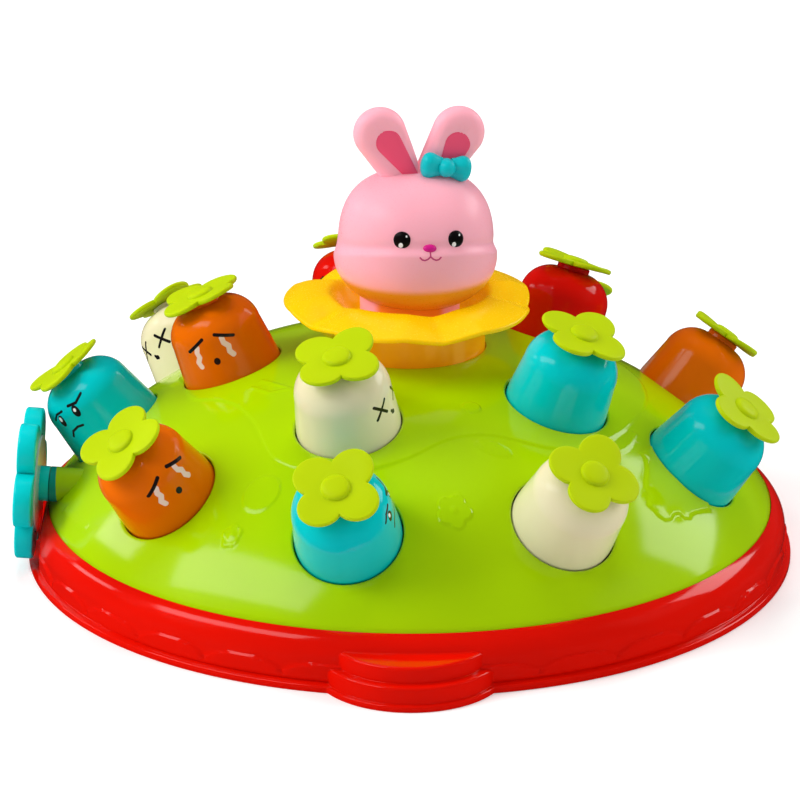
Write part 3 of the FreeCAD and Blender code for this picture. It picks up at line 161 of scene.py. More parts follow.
class NodeTree:
    """A node tree under construction."""

    def __init__(self, tree: bpy.types.NodeTree) -> None:
        """Empties the tree."""
        self.tree = tree
        self.tree.nodes.clear()

    def node(
        self,
        kind: str,
        settings: Mapping[str, object] | None = None,
        inputs: Mapping[Union[str, int], object] | None = None,
    ) -> bpy.types.Node:
        """Adds a node, sets it up and feeds its sockets.

        Args:
            kind: The node's type.
            settings: Its own settings.
            inputs: Values or links by socket name or number.

        Returns:
            The node.
        """
        node = self.tree.nodes.new(kind)
        for name, value in (settings or {}).items():
            setattr(node, name, value)
        for name, value in (inputs or {}).items():
            self.feed(node.inputs[name], value)
        return node

    def feed(self, socket: bpy.types.NodeSocket, value: object) -> None:
        """Links or sets one socket.

        Args:
            socket: The socket.
            value: A shader value, another socket, or a plain number, vector or colour.
        """
        if isinstance(value, Value):
            value = value.socket
        if isinstance(value, bpy.types.NodeSocket):
            self.tree.links.new(value, socket)
        elif socket.type == "RGBA" and len(value) == 3:
            socket.default_value = (*value, 1)
        else:
            socket.default_value = value


class Shader(NodeTree):
    """A material under construction: a Principled shader and the nodes that feed it."""

    def __init__(self, name: str) -> None:
        """Starts a material.

        Args:
            name: Its name.
        """
        self.material = bpy.data.materials.new(name)
        self.material.use_nodes = True
        super().__init__(self.material.node_tree)
        self.surface = self.node("ShaderNodeBsdfPrincipled")
        self.node("ShaderNodeOutputMaterial", None, {"Surface": self.surface.outputs[0]})
        self.place = self.node("ShaderNodeTexCoord").outputs["Object"]

    def set(self, **inputs: object) -> None:
        """Feeds sockets of the Principled shader; an underscore stands for a space."""
        for name, value in inputs.items():
            self.feed(self.surface.inputs[name.replace("_", " ")], value)

    def grain(self, size: float, detail: float = 2.0, stretch: Triple = (1, 1, 1)) -> Value:
        """Noise between 0 and 1.

        Args:
            size: Size of its patches in millimetres.
            detail: Levels of finer noise.
            stretch: How much denser it is along each axis.

        Returns:
            The noise.
        """
        place = self.node("ShaderNodeMapping", None, {"Vector": self.place, "Scale": stretch})
        inputs = {"Vector": place.outputs[0], "Scale": 1 / (size * MM), "Detail": detail}
        return Value(self, self.node("ShaderNodeTexNoise", None, inputs).outputs[0])

    def mixed(self, share: Number, low: object, high: object) -> bpy.types.NodeSocket:
        """Mixes two colours by the share of the second."""
        node = self.node("ShaderNodeMix", {"data_type": "RGBA"}, {0: share, 6: low, 7: high})
        return node.outputs[2]

    def bump(self, height: Number, depth: float) -> None:
        """Raises the surface by height, 0 to 1, times depth in millimetres."""
        inputs = {"Height": height, "Distance": depth * MM, "Strength": 1.0}
        self.set(Normal=self.node("ShaderNodeBump", None, inputs).outputs[0])

    def axes(self, vector: bpy.types.NodeSocket) -> list[Value]:
        """The three numbers of a vector."""
        node = self.node("ShaderNodeSeparateXYZ", None, {0: vector})
        return [Value(self, socket) for socket in node.outputs]

    def framed(
        self,
        vector: bpy.types.NodeSocket,
        place: Sequence[float],
        turn: Sequence[float],
        scale: Sequence[float],
    ) -> bpy.types.NodeSocket:
        """Gives a vector in a frame with its own place, turn in radians and unit along each axis."""
        inputs = {"Vector": vector, "Location": place, "Rotation": turn, "Scale": scale}
        return self.node("ShaderNodeMapping", {"vector_type": "TEXTURE"}, inputs).outputs[0]

    def length(self, vector: bpy.types.NodeSocket) -> Value:
        """The length of a vector."""
        node = self.node("ShaderNodeVectorMath", {"operation": "LENGTH"}, {0: vector})
        return Value(self, node.outputs["Value"])


@dataclass(frozen=True)
class Tint:
    """A second colour that fades in along one axis, used for a second moulded colour and for painted bounce
    light in a neighbour's colour on a soft skin.
    """

    colour: Colour
    axis: int
    full: float
    none: float
    strength: float = 1.0

    def lay(self, shader: Shader, base: object) -> bpy.types.NodeSocket:
        """Lays the colour over another.

        Args:
            shader: The shader that is drawn on.
            base: The colour under it.

        Returns:
            The mixed colour.
        """
        place = shader.axes(shader.place)[self.axis]
        share = place.ramp(self.full * MM, self.none * MM, self.strength, 0.0)
        return shader.mixed(share, base, self.colour)


@dataclass(frozen=True)
class Finish:
    """What every finish has: a name, a colour, and a shader that gives its material."""

    name: str
    colour: Colour

    def shader(self) -> Shader:
        """Builds the finish as a shader, which a print may still draw on."""
        raise NotImplementedError

    def material(self) -> bpy.types.Material:
        """The finished material."""
        return self.shader().material


@dataclass(frozen=True)
class Plastic(Finish):
    """Moulded plastic: an even colour with a slow drift, fine grain in its gloss, faint ripple, and where
    set a painted glow: emission that brightens it though it is no lamp.
    """

    roughness: float = 0.16
    grain: float = 0.05
    drift: float = 0.06
    ripple: float = 0.02
    ripple_size: float = 26.0
    skin: float = 0.004
    glow: float = 0.0
    glow_reach: float = 3.0
    gloss: float = 0.5
    painted_glow: float = 0.0
    tints: tuple[Tint, ...] = ()
    patch: float = 45.0
    speck: float = 0.7

    def shader(self) -> Shader:
        """Builds the finish.

        Returns:
            The shader.
        """
        shader = Shader(self.name)
        slow, fine = shader.grain(self.patch, 2), shader.grain(self.speck, 3)
        tone = shader.mixed(slow.spread(), toned(self.colour, 1 - self.drift), self.colour)
        # Tints: second colours, among them painted bounce light.
        for tint in self.tints:
            tone = tint.lay(shader, tone)
        # Painted glow: the finish's colour given off as emission, so the part looks lit from within.
        if self.painted_glow:
            shader.set(Emission_Color=tone, Emission_Strength=self.painted_glow)
        shader.set(
            Base_Color=tone,
            Roughness=fine.spread(self.roughness - self.grain / 2, self.roughness + self.grain / 2),
            Specular_IOR_Level=self.gloss,
            Subsurface_Weight=self.glow,
            Subsurface_Radius=(1.0, 0.6, 0.4),
            Subsurface_Scale=self.glow_reach * MM,
        )
        waves = shader.grain(self.ripple_size, 1)
        shader.bump(waves * self.ripple + fine * self.skin, 1.0)
        return shader


@dataclass(frozen=True)
class ClearPlastic(Finish):
    """Tinted plastic that lets some light through and is deeper in colour below a height, with a painted
    highlight streak down its front side where set, and a painted glow of emission.
    """

    deep: Colour
    low: float
    high: float
    clear: float = 0.45
    roughness: float = 0.12
    seam_highlight_x: float | None = None
    glow: float = 0.3
    painted_glow: float = 0.0
    gloss: float = 0.5
    seam_highlight_colour: Colour = srgb(255, 200, 90)
    faint: float = 0.25

    def shader(self) -> Shader:
        """Builds the finish.

        Returns:
            The shader.
        """
        shader = Shader(self.name)
        across, along, height = shader.axes(shader.place)
        rise = height.ramp(self.low * MM, self.high * MM)
        tone = shader.mixed(rise, self.deep, self.colour)
        # Painted highlight: a lighter streak laid down the front side along one vertical line.
        if self.seam_highlight_x is not None:
            line = (across - self.seam_highlight_x * MM).size().ramp(1.2 * MM, 3.5 * MM, 1.0, 0.0) * (along < 0)
            tone = shader.mixed(line * self.faint, tone, self.seam_highlight_colour)
        cloud, fine = shader.grain(9, 3), shader.grain(0.8, 2)
        tone = shader.mixed(cloud.ramp(0.35, 0.7) * self.faint, tone, toned(self.colour, 1.12))
        shader.set(
            Base_Color=tone,
            Roughness=fine.spread(self.roughness - 0.02, self.roughness + 0.04),
            Transmission_Weight=self.clear,
            Specular_IOR_Level=self.gloss,
            IOR=1.45,
            Subsurface_Weight=self.glow,
            Subsurface_Radius=(1.0, 0.7, 0.2),
            Subsurface_Scale=4 * MM,
            # Painted glow: emission of the plastic's own colour.
            Emission_Color=tone,
            Emission_Strength=self.painted_glow,
        )
        shader.bump(shader.grain(18, 1) * 0.03 + fine * 0.003, 1.0)
        return shader


@dataclass(frozen=True)
class Metal(Finish):
    """Drawn or stamped metal with fine lines and dull patches."""

    roughness: float = 0.28
    stretch: Triple = (1, 1, 0.1)

    def shader(self) -> Shader:
        """Builds the finish.

        Returns:
            The shader.
        """
        shader = Shader(self.name)
        lines, patches = shader.grain(0.5, 3, self.stretch), shader.grain(6, 2)
        tone = shader.mixed(patches.ramp(0.35, 0.75), self.colour, toned(self.colour, 0.8))
        rough = lines.spread(self.roughness - 0.08, self.roughness + 0.12)
        shader.set(Base_Color=tone, Metallic=1.0, Roughness=rough)
        shader.bump(lines * 0.008, 1.0)
        return shader


@dataclass(frozen=True)
class Banded(Finish):
    """A piece in two tones that change at steps along one axis, such as a battery or a board."""

    second: Colour
    axis: int
    pitch: float
    share: float
    roughness: float = 0.4

    def shader(self) -> Shader:
        """Builds the finish.

        Returns:
            The shader.
        """
        shader = Shader(self.name)
        along = shader.axes(shader.place)[self.axis] / (self.pitch * MM)
        place = along.math("FRACT", along)
        band = (place > self.share) * 1.0
        fine = shader.grain(1.2, 3)
        tone = shader.mixed(band, self.colour, self.second)
        tone = shader.mixed(fine.ramp(0.4, 0.7) * 0.2, tone, toned(self.colour, 0.6))
        shader.set(Base_Color=tone, Roughness=fine.spread(self.roughness - 0.1, self.roughness + 0.1))
        shader.bump(band * 0.05 + fine * 0.01, 1.0)
        return shader


# ---------------------------------------------------------------- prints

FLAT = 1e6  # a unit so long that a print's depth doesn't count


@dataclass(frozen=True)
class Stroke:
    """A printed line with round ends: millimetres right and up from the print's origin."""

    start: Point
    end: Point
    radius: float = 0.5

    def distance(self, shader: Shader, plane: bpy.types.NodeSocket) -> Value:
        """How far a point is from the line's edge.

        Args:
            shader: The shader that is drawn on.
            plane: The print's own coordinates, in millimetres.

        Returns:
            The distance, below zero on the ink.
        """
        run = Vector(self.end) - Vector(self.start)
        middle = (Vector(self.start) + Vector(self.end)) / 2
        spot = shader.framed(plane, (*middle, 0), (0, 0, math.atan2(run.y, run.x)), (1, 1, FLAT))
        half = (run.length / 2, 0, 0)
        for operation, other in (("ABSOLUTE", (0, 0, 0)), ("SUBTRACT", half), ("MAXIMUM", (0, 0, 0))):
            node = shader.node("ShaderNodeVectorMath", {"operation": operation}, {0: spot, 1: other})
            spot = node.outputs[0]
        return shader.length(spot) - self.radius


@dataclass(frozen=True)
class Oval:
    """A printed oval: half width and half height in millimetres, turned by degrees."""

    centre: Point
    size: Point
    turn: float = 0.0

    def distance(self, shader: Shader, plane: bpy.types.NodeSocket) -> Value:
        """How far a point is from the oval's edge, as for a stroke.

        Args:
            shader: The shader that is drawn on.
            plane: The print's own coordinates, in millimetres.

        Returns:
            The distance, below zero on the ink.
        """
        turn = (0, 0, math.radians(self.turn))
        spot = shader.framed(plane, (*self.centre, 0), turn, (*self.size, FLAT))
        return (shader.length(spot) - 1.0) * min(self.size)


Mark = Union[Stroke, Oval]


def chain(points: Sequence[Point], radius: float) -> tuple[Stroke, ...]:
    """Strokes end to end along some points."""
    return tuple(Stroke(a, b, radius) for a, b in zip(points, points[1:]))


@dataclass(frozen=True)
class Ink:
    """Marks of one colour."""

    colour: Colour
    marks: tuple[Mark, ...]


class Expression(Enum):
    """The faces that are printed on the buttons."""

    CROSS = "cross"
    CRYING = "crying"
    DAZED = "dazed"
    DOZING = "dozing"


BLACK = srgb(26, 22, 24)
GLINT = srgb(245, 245, 245)

DRAWINGS: dict[Expression, tuple[Ink, ...]] = {
    Expression.CROSS: (
        Ink(BLACK, (
            Oval((-4.4, 17.6), (1.6, 2.7), -4), Oval((4.6, 18.2), (1.6, 2.7), 4),
            *chain([(-8.2, 19.0), (-5.6, 20.9), (-1.6, 21.2)], 0.5),
            *chain([(2.4, 21.7), (6.4, 21.0), (9.4, 22.6)], 0.58),
            *chain([(-4.5, 9.8), (-2.7, 11.8), (0.8, 12.5), (3.4, 11.9)], 0.55),
        )),
        Ink(GLINT, (Oval((-4.7, 18.5), (0.75, 1.1)), Oval((4.4, 18.9), (0.6, 0.8)))),
    ),
    Expression.CRYING: (
        Ink(srgb(248, 212, 204), (
            *chain([(-6.0, 17.4), (-6.9, 15.2), (-6.5, 13.2), (-7.8, 11.2), (-7.2, 9.2)], 1.05),
            *chain([(5.2, 18.0), (5.2, 15.8), (6.6, 13.8), (6.2, 11.6), (7.2, 9.8)], 1.05),
        )),
        Ink(BLACK, (
            Stroke((-9.8, 16.4), (-2.7, 20.0), 0.7), Stroke((2.9, 20.2), (9.7, 16.9), 0.7),
            Oval((0.0, 9.6), (1.35, 1.5)),
        )),
    ),
    Expression.DAZED: (
        Ink(BLACK, (
            Stroke((-9.4, 18.4), (-3.6, 12.4), 0.62), Stroke((-3.4, 18.4), (-9.2, 12.2), 0.62),
            Stroke((3.8, 18.4), (9.2, 12.2), 0.62), Stroke((9.4, 18.2), (3.6, 12.8), 0.62),
            Oval((0.3, 9.4), (1.3, 1.0), -20), Stroke((-0.9, 10.6), (1.0, 8.8), 0.6),
        )),
    ),
    Expression.DOZING: (
        Ink(BLACK, (
            *chain([(-8.6, 17.6), (-6.4, 16.4), (-3.6, 16.8)], 0.55),
            *chain([(3.6, 16.8), (6.4, 16.4), (8.6, 17.6)], 0.55),
            Oval((0.0, 10.0), (1.5, 1.1)),
        )),
    ),
}


@dataclass(frozen=True)
class Print:
    """Inks laid on a finish, seen straight on along the third axis of the print's frame."""

    place: Matrix
    inks: tuple[Ink, ...]
    depth: float = 4.0
    bleed: float = 0.09
    dullness: float = 0.12

    def draw(self, shader: Shader) -> bpy.types.Material:
        """Lays the inks over the shader's colour.

        Args:
            shader: The finish under the inks.

        Returns:
            The printed material.
        """
        unit = (MM, MM, MM)
        plane = shader.framed(shader.place, self.place.translation * MM, self.place.to_euler(), unit)
        facing = shader.axes(plane)[2] > self.depth
        base = shader.surface.inputs["Base Color"].links[0].from_socket
        rough = Value(shader, shader.surface.inputs["Roughness"].links[0].from_socket)
        for ink in self.inks:
            nearest = ink.marks[0].distance(shader, plane)
            for mark in ink.marks[1:]:
                nearest = nearest.least(mark.distance(shader, plane))
            cover = nearest.ramp(-self.bleed, self.bleed, 1.0, 0.0) * facing
            base = shader.mixed(cover, base, ink.colour)
            rough = rough + cover * self.dullness
        shader.set(Base_Color=base, Roughness=rough)
        return shader.material


# ---------------------------------------------------------------- forms


def rounded(corners: Sequence[tuple[float, ...]], closed: bool = True, step: float = 15.0) -> list[Point]:
    """Rounds the corners of a section.

    Args:
        corners: (across, up) or (across, up, radius) of each corner in order.
        closed: Whether the last corner joins the first.
        step: Turn between two points of a rounding, in degrees.

    Returns:
        The points of the section.
    """
    points: list[Point] = []
    count = len(corners)
    for index, corner in enumerate(corners):
        here = Vector(corner[:2])
        radius = corner[2] if len(corner) > 2 else 0.0
        if radius == 0 or (not closed and index in (0, count - 1)):
            points.append(tuple(here))
            continue
        back = (Vector(corners[index - 1][:2]) - here).normalized()
        ahead = (Vector(corners[(index + 1) % count][:2]) - here).normalized()
        half = back.angle(ahead) / 2
        centre = here + (back + ahead).normalized() * radius / math.sin(half)
        start = here + back * radius / math.tan(half) - centre
        sweep = math.pi - 2 * half
        side = 1 if start.cross(here - centre) > 0 else -1
        parts = max(2, round(math.degrees(sweep) / step))
        for part in range(parts + 1):
            turn = Matrix.Rotation(side * sweep * part / parts, 2)
            points.append(tuple(centre + turn @ start))
    return points


def arc(start: Point, middle: Point, end: Point, parts: int) -> list[Point]:
    """Points on the arc through three points.

    Args:
        start: First end.
        middle: A point between.
        end: Last end.
        parts: Number of runs.

    Returns:
        The points, both ends among them.
    """
    a, b, c = (Vector(p) for p in (start, middle, end))
    ab, ac = b - a, c - a
    lean = 2 * ab.cross(ac)
    centre = a + Vector((ac.y * ab.length_squared - ab.y * ac.length_squared,
                         ab.x * ac.length_squared - ac.x * ab.length_squared)) / lean
    first, last = a - centre, c - centre
    sweep = math.atan2(first.cross(last), first.dot(last))
    return [tuple(centre + Matrix.Rotation(sweep * i / parts, 2) @ first) for i in range(parts + 1)]


class Form:
    """A mesh under construction, in millimetres, shaped by bmesh operators."""

    def __init__(self) -> None:
        """Starts empty."""
        self.mesh = bmesh.new()

    def turned(self, section: Sequence[Point], steps: int = 96) -> "Form":
        """Turns a closed section once round the Z axis.

        Args:
            section: (radius, height) of its points; points on the axis become poles.
            steps: Number of facets round.

        Returns:
            This form.
        """
        verts = [self.mesh.verts.new((r, 0, z)) for r, z in section]
        edges = [self.mesh.edges.new(pair) for pair in zip(verts, verts[1:] + verts[:1])]
        flat = [e for e in edges if all(abs(v.co.x) < 1e-6 for v in e.verts)]
        for edge in flat:
            self.mesh.edges.remove(edge)
            edges.remove(edge)
        bmesh.ops.spin(
            self.mesh, geom=verts + edges, cent=(0, 0, 0), axis=(0, 0, 1),
            angle=math.tau, steps=steps, use_merge=True, use_duplicate=False,
        )
        return self.welded()

    def drum(self, radius: float, low: float, high: float, steps: int = 96) -> "Form":
        """Adds a solid drum about the Z axis by its radius and its two heights."""
        return self.turned([(0, low), (radius, low), (radius, high), (0, high)], steps)

    def block(self, centre: Sequence[float], size: Sequence[float]) -> "Form":
        """Adds a box.

        Args:
            centre: Its centre.
            size: Its three sides.

        Returns:
            This form.
        """
        matrix = Matrix.Translation(centre) @ Matrix.Diagonal((*size, 1))
        bmesh.ops.create_cube(self.mesh, size=1.0, matrix=matrix)
        return self

    def draped(self, across: int, along: int, place: Callable[[float, float], Sequence[float]]) -> "Form":
        """Lays a grid over a surface and closes its seams and poles.

        Args:
            across: Cells in the first direction.
            along: Cells in the second direction.
            place: Gives the point for two shares from 0 to 1.

        Returns:
            This form.
        """
        grid = bmesh.ops.create_grid(self.mesh, x_segments=across, y_segments=along, size=0.5)
        for vert in grid["verts"]:
            vert.co = Vector(place(vert.co.x + 0.5, vert.co.y + 0.5))
        return self.welded()

    def ball(self, centre: Sequence[float], reach: float, rule: Rule, detail: int = 5) -> "Form":
        """Pulls a dense ball onto the surface where a distance rule is zero.

        Args:
            centre: A point that sees the whole surface.
            reach: A distance that is surely outside.
            rule: Distance of many points from the surface, below zero inside.
            detail: Subdivisions of the ball.

        Returns:
            This form.
        """
        made = bmesh.ops.create_icosphere(self.mesh, subdivisions=detail, radius=1.0)
        rays = np.array([vert.co.normalized() for vert in made["verts"]])
        middle = np.array(centre, float)
        near, far = np.zeros(len(rays)), np.full(len(rays), float(reach))
        for _ in range(26):
            half = (near + far) / 2
            outside = rule(middle + rays * half[:, None]) > 0
            far = np.where(outside, half, far)
            near = np.where(outside, near, half)
        for vert, spot in zip(made["verts"], middle + rays * near[:, None]):
            vert.co = spot
        return self

    def welded(self, gap: float = 0.002) -> "Form":
        """Merges doubles and turns all faces outwards.

        Args:
            gap: How close two points are that become one.

        Returns:
            This form.
        """
        bmesh.ops.remove_doubles(self.mesh, verts=self.mesh.verts, dist=gap)
        bmesh.ops.dissolve_degenerate(self.mesh, edges=self.mesh.edges, dist=gap / 4)
        bmesh.ops.recalc_face_normals(self.mesh, faces=self.mesh.faces)
        return self

    def placed(self, matrix: Matrix) -> "Form":
        """Moves the whole form."""
        bmesh.ops.transform(self.mesh, matrix=matrix, verts=self.mesh.verts)
        return self

    def joined(self, *others: "Form") -> "Form":
        """Adds other forms as they are.

        Args:
            *others: The forms.

        Returns:
            This form.
        """
        for other in others:
            mesh = bpy.data.meshes.new("part")
            other.mesh.to_mesh(mesh)
            self.mesh.from_mesh(mesh)
            bpy.data.meshes.remove(mesh)
        return self

    def loose(self) -> bpy.types.Object:
        """Puts this form into the scene for a while, as for a cut.

        Returns:
            The passing object.
        """
        mesh = bpy.data.meshes.new("part")
        self.mesh.to_mesh(mesh)
        item = bpy.data.objects.new("part", mesh)
        bpy.context.scene.collection.objects.link(item)
        return item

    def combined(self, other: "Form", operation: str) -> "Form":
        """Joins or cuts with another closed form.

        Args:
            other: The other form.
            operation: UNION, DIFFERENCE or INTERSECT.

        Returns:
            This form.
        """
        first, second = self.loose(), other.loose()
        modifier = first.modifiers.new("combine", "BOOLEAN")
        modifier.operation, modifier.object, modifier.solver = operation, second, "EXACT"
        graph = bpy.context.evaluated_depsgraph_get()
        mesh = bpy.data.meshes.new_from_object(first.evaluated_get(graph))
        self.mesh.clear()
        self.mesh.from_mesh(mesh)
        for item in (first, second):
            data = item.data
            bpy.data.objects.remove(item)
            bpy.data.meshes.remove(data)
        bpy.data.meshes.remove(mesh)
        return self

    def refined(self, near: Rule, cuts: int) -> "Form":
        """Divides the edges of the faces whose centres a rule picks.

        Args:
            near: True for the face centres to divide.
            cuts: Cuts in each edge.

        Returns:
            This form.
        """
        faces = list(self.mesh.faces)
        centres = np.array([face.calc_center_median() for face in faces])
        chosen = near(centres)
        edges = {edge for face, take in zip(faces, chosen) if take for edge in face.edges}
        bmesh.ops.subdivide_edges(self.mesh, edges=list(edges), cuts=cuts, use_grid_fill=True)
        return self

    def shifted(self, rule: Rule) -> "Form":
        """Moves all points by a rule.

        Args:
            rule: Takes the points and gives them in their new places.

        Returns:
            This form.
        """
        verts = list(self.mesh.verts)
        spots = rule(np.array([vert.co for vert in verts]))
        for vert, spot in zip(verts, spots):
            vert.co = spot
        return self

    def piece(
        self,
        name: str,
        material: bpy.types.Material,
        body: str,
        slot: str,
        nodes: Sequence[str],
        crease: float = 38.0,
    ) -> bpy.types.Object:
        """Finishes the form as a piece of the toy.

        Args:
            name: The piece's name.
            material: Its finish.
            body: The body that it rides on.
            slot: Not used.
            nodes: The CAD nodes that it stands for.
            crease: Angle from which an edge stays sharp, in degrees.

        Returns:
            The piece.
        """
        limit = math.radians(crease)
        for face in self.mesh.faces:
            face.smooth = True
        for edge in self.mesh.edges:
            edge.smooth = edge.calc_face_angle(0.0) < limit
        self.placed(Matrix.Scale(MM, 4))
        mesh = bpy.data.meshes.new(name)
        self.mesh.to_mesh(mesh)
        self.mesh.free()
        mesh.materials.append(material)
        item = bpy.data.objects.new(name, mesh)
        bpy.context.scene.collection.objects.link(item)
        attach(item, body)
        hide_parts(*nodes)
        LOG.info("%s: %d faces on %s", name, len(mesh.polygons), body)
        return item


def plate(outline: Callable[[float], float], path: Sequence[Point], fixed: float, steps: int) -> Form:
    """A turned body whose outer part follows a lobed outline.

    Args:
        outline: Radius of the rim for an angle in radians.
        path: Closed section as (share, height): up to fixed a radius, beyond it a share of the rest.
        fixed: Radius up to which the body stays round.
        steps: Cells round.

    Returns:
        The form.
    """
    count = len(path) - 1

    def place(turn: float, share: float) -> Sequence[float]:
        """Point of the surface for two shares.

        Args:
            turn: Share of the way round the outline.
            share: Share of the way from one face to the other.

        Returns:
            The point.
        """
        angle = turn * math.tau
        reach, height = path[round(share * count)]
        radius = reach if reach <= fixed else fixed + (reach - fixed) * (outline(angle) - fixed)
        return (radius * math.cos(angle), radius * math.sin(angle), height)

    return Form().draped(steps, count, place)


def lobed(count: int, offset: float, radius: float, first: float = 0.0) -> Callable[[float], float]:
    """Outline of equal round lobes about the origin.

    Args:
        count: Number of lobes.
        offset: Distance of a lobe's centre.
        radius: A lobe's radius.
        first: Angle of the first lobe in degrees.

    Returns:
        The radius of the outline for an angle in radians.
    """
    pitch = math.tau / count

    def reach(angle: float) -> float:
        """Radius at that angle."""
        off = (angle - math.radians(first) + pitch / 2) % pitch - pitch / 2
        return offset * math.cos(off) + math.sqrt(max(0.0, radius**2 - (offset * math.sin(off)) ** 2))

    return reach


# ---------------------------------------------------------------- dome


@dataclass
class Dome:
    """The dome's own surface, which buttons, holes and reliefs follow."""

    rim: float = 150.9
    rim_height: float = 22.0
    thickness: float = 2.4
    arcs: tuple[Point, ...] = ((0.209, 5.3), (0.492, 18.8), (0.940, 47.0), (1.0, 56.0))
    runs: list[tuple[float, float, float, float]] = field(default_factory=list)

    def __post_init__(self) -> None:
        """Works out the centre and bend of each arc from the crown outwards."""
        start, slope, height = 0.0, 0.0, 0.0
        for share, degrees in self.arcs:
            end, last = share * self.rim, math.radians(degrees)
            bend = (end - start) / (math.sin(last) - math.sin(slope))
            self.runs.append((end - bend * math.sin(last), height - bend * math.cos(slope), bend, last))
            height -= bend * (math.cos(slope) - math.cos(last))
            start, slope = end, last
        self.lift = self.rim_height - height

    def station(self, radius: float) -> tuple[float, float]:
        """Height and slope of the surface.

        Args:
            radius: Distance from the axis.

        Returns:
            Height in millimetres and slope in radians.
        """
        for across, up, bend, last in self.runs:
            slope = math.asin(max(-1.0, min((radius - across) / bend, 1.0)))
            if slope <= last + 1e-9:
                break
        return up + self.lift + bend * math.cos(slope), slope

    def stations(self, radii: np.ndarray) -> tuple[np.ndarray, np.ndarray]:
        """Heights and slopes of many points at once.

        Args:
            radii: Distances from the axis.

        Returns:
            Heights and slopes.
        """
        table = np.linspace(0, self.rim, 1500)
        values = np.array([self.station(r) for r in table])
        return np.interp(radii, table, values[:, 0]), np.interp(radii, table, values[:, 1])

    def button_place(self, radius: float, angle: float, lean: float) -> Matrix:
        """Frame of a button: origin on the dome, third axis along its travel.

        Args:
            radius: Distance from the dome's axis.
            angle: Angle round it in degrees.
            lean: Extra tilt in degrees.

        Returns:
            The frame, in millimetres.
        """
        height, slope = self.station(radius)
        turn = Matrix.Rotation(math.radians(angle), 4, "Z")
        tilt = Matrix.Rotation(slope + math.radians(lean), 4, "Y")
        return turn @ Matrix.Translation((radius, 0, height)) @ tilt


@dataclass(frozen=True)
class Seat:
    """One button's seat in the dome, with its colour and face."""

    name: str
    radius: float
    angle: float
    lean: float
    leaf_turn: float
    colour: str
    face: Expression
    face_turn: float
    face_rise: float


@dataclass(frozen=True)
class SeatRing:
    """One ring of seats: what they share, and (leaf turn, colour, face, face turn, face rise) of each."""

    name: str
    radius: float
    first: float
    lean: float
    tops: tuple[tuple[float, str, Expression, float, float], ...]

    def seats(self) -> list[Seat]:
        """Spaces the buttons evenly, from the first angle on.

        Returns:
            The ring's seats.
        """
        pitch = 360 // len(self.tops)
        return [
            Seat(f"{self.name}_{k + 1}", self.radius, self.first + pitch * k, self.lean, *top)
            for k, top in enumerate(self.tops)
        ]


RINGS = (
    SeatRing("outer", 123.4, -21.2, 0.0, (
        (72, "turquoise", Expression.CROSS, 90, 0.0),
        (15, "orange", Expression.CRYING, 90, 0.0),
        (12, "turquoise", Expression.CROSS, 90, 0.0),
        (40, "red", Expression.DOZING, 90, 0.0),
        (70, "white", Expression.DAZED, 89, 0.0),
        (76, "turquoise", Expression.CROSS, 67, 0.0),
        (34, "orange", Expression.CRYING, 89, 1.6),
        (62, "turquoise", Expression.CROSS, 100, 0.0),
        (52, "white", Expression.DAZED, 95, 0.0),
    )),
    SeatRing("inner", 74.2, -37.2, 3.0, (
        (10, "turquoise", Expression.CROSS, 90, -0.6),
        (0, "red", Expression.DOZING, 90, -0.6),
        (48, "red", Expression.DOZING, 90, -0.6),
        (45, "orange", Expression.CRYING, 88, -0.6),
        (72, "white", Expression.DAZED, 89, -0.6),
    )),
)


def path_distance(spots: np.ndarray, path: Sequence[Point], closed: bool) -> np.ndarray:
    """Distance of many points from a line of points.

    Args:
        spots: The points, one a row, x and y first.
        path: The line's points.
        closed: Whether it ends where it starts.

    Returns:
        The distances.
    """
    ends = list(path[1:]) + ([path[0]] if closed else [])
    best = np.full(len(spots), 1e9)
    for start, end in zip(path, ends):
        a, run = np.array(start), np.array(end) - np.array(start)
        off = spots[:, :2] - a
        share = np.clip(off @ run / (run @ run), 0, 1)
        best = np.minimum(best, np.linalg.norm(off - share[:, None] * run, axis=1))
    return best


def inside(spots: np.ndarray, path: Sequence[Point]) -> np.ndarray:
    """Which points lie inside a closed line.

    Args:
        spots: The points, one a row, x and y first.
        path: The line's points.

    Returns:
        True for those inside.
    """
    hits = np.zeros(len(spots), bool)
    for (ax, ay), (bx, by) in zip(path, list(path[1:]) + [path[0]]):
        spans = (ay > spots[:, 1]) != (by > spots[:, 1])
        cross = ax + (spots[:, 1] - ay) / ((by - ay) or 1e-9) * (bx - ax)
        hits ^= spans & (spots[:, 0] < cross)
    return hits


def eased(path: Sequence[Point], rounds: int, closed: bool) -> list[Point]:
    """A line with its corners cut a few times, so that it runs smoothly.

    Args:
        path: The line's points.
        rounds: How often the corners are cut.
        closed: Whether it ends where it starts.

    Returns:
        The smoother line.
    """
    points = [np.array(p, float) for p in path]
    for _ in range(rounds):
        pairs = list(zip(points, points[1:])) + ([(points[-1], points[0])] if closed else [])
        cut = [q for a, b in pairs for q in (0.75 * a + 0.25 * b, 0.25 * a + 0.75 * b)]
        points = cut if closed else [points[0], *cut, points[-1]]
    return [tuple(p) for p in points]


def smooth(values: np.ndarray | float) -> np.ndarray | float:
    """Smooth step from 0 to 1 of one number or of many."""
    share = np.clip(values, 0, 1)
    return share * share * (3 - 2 * share)


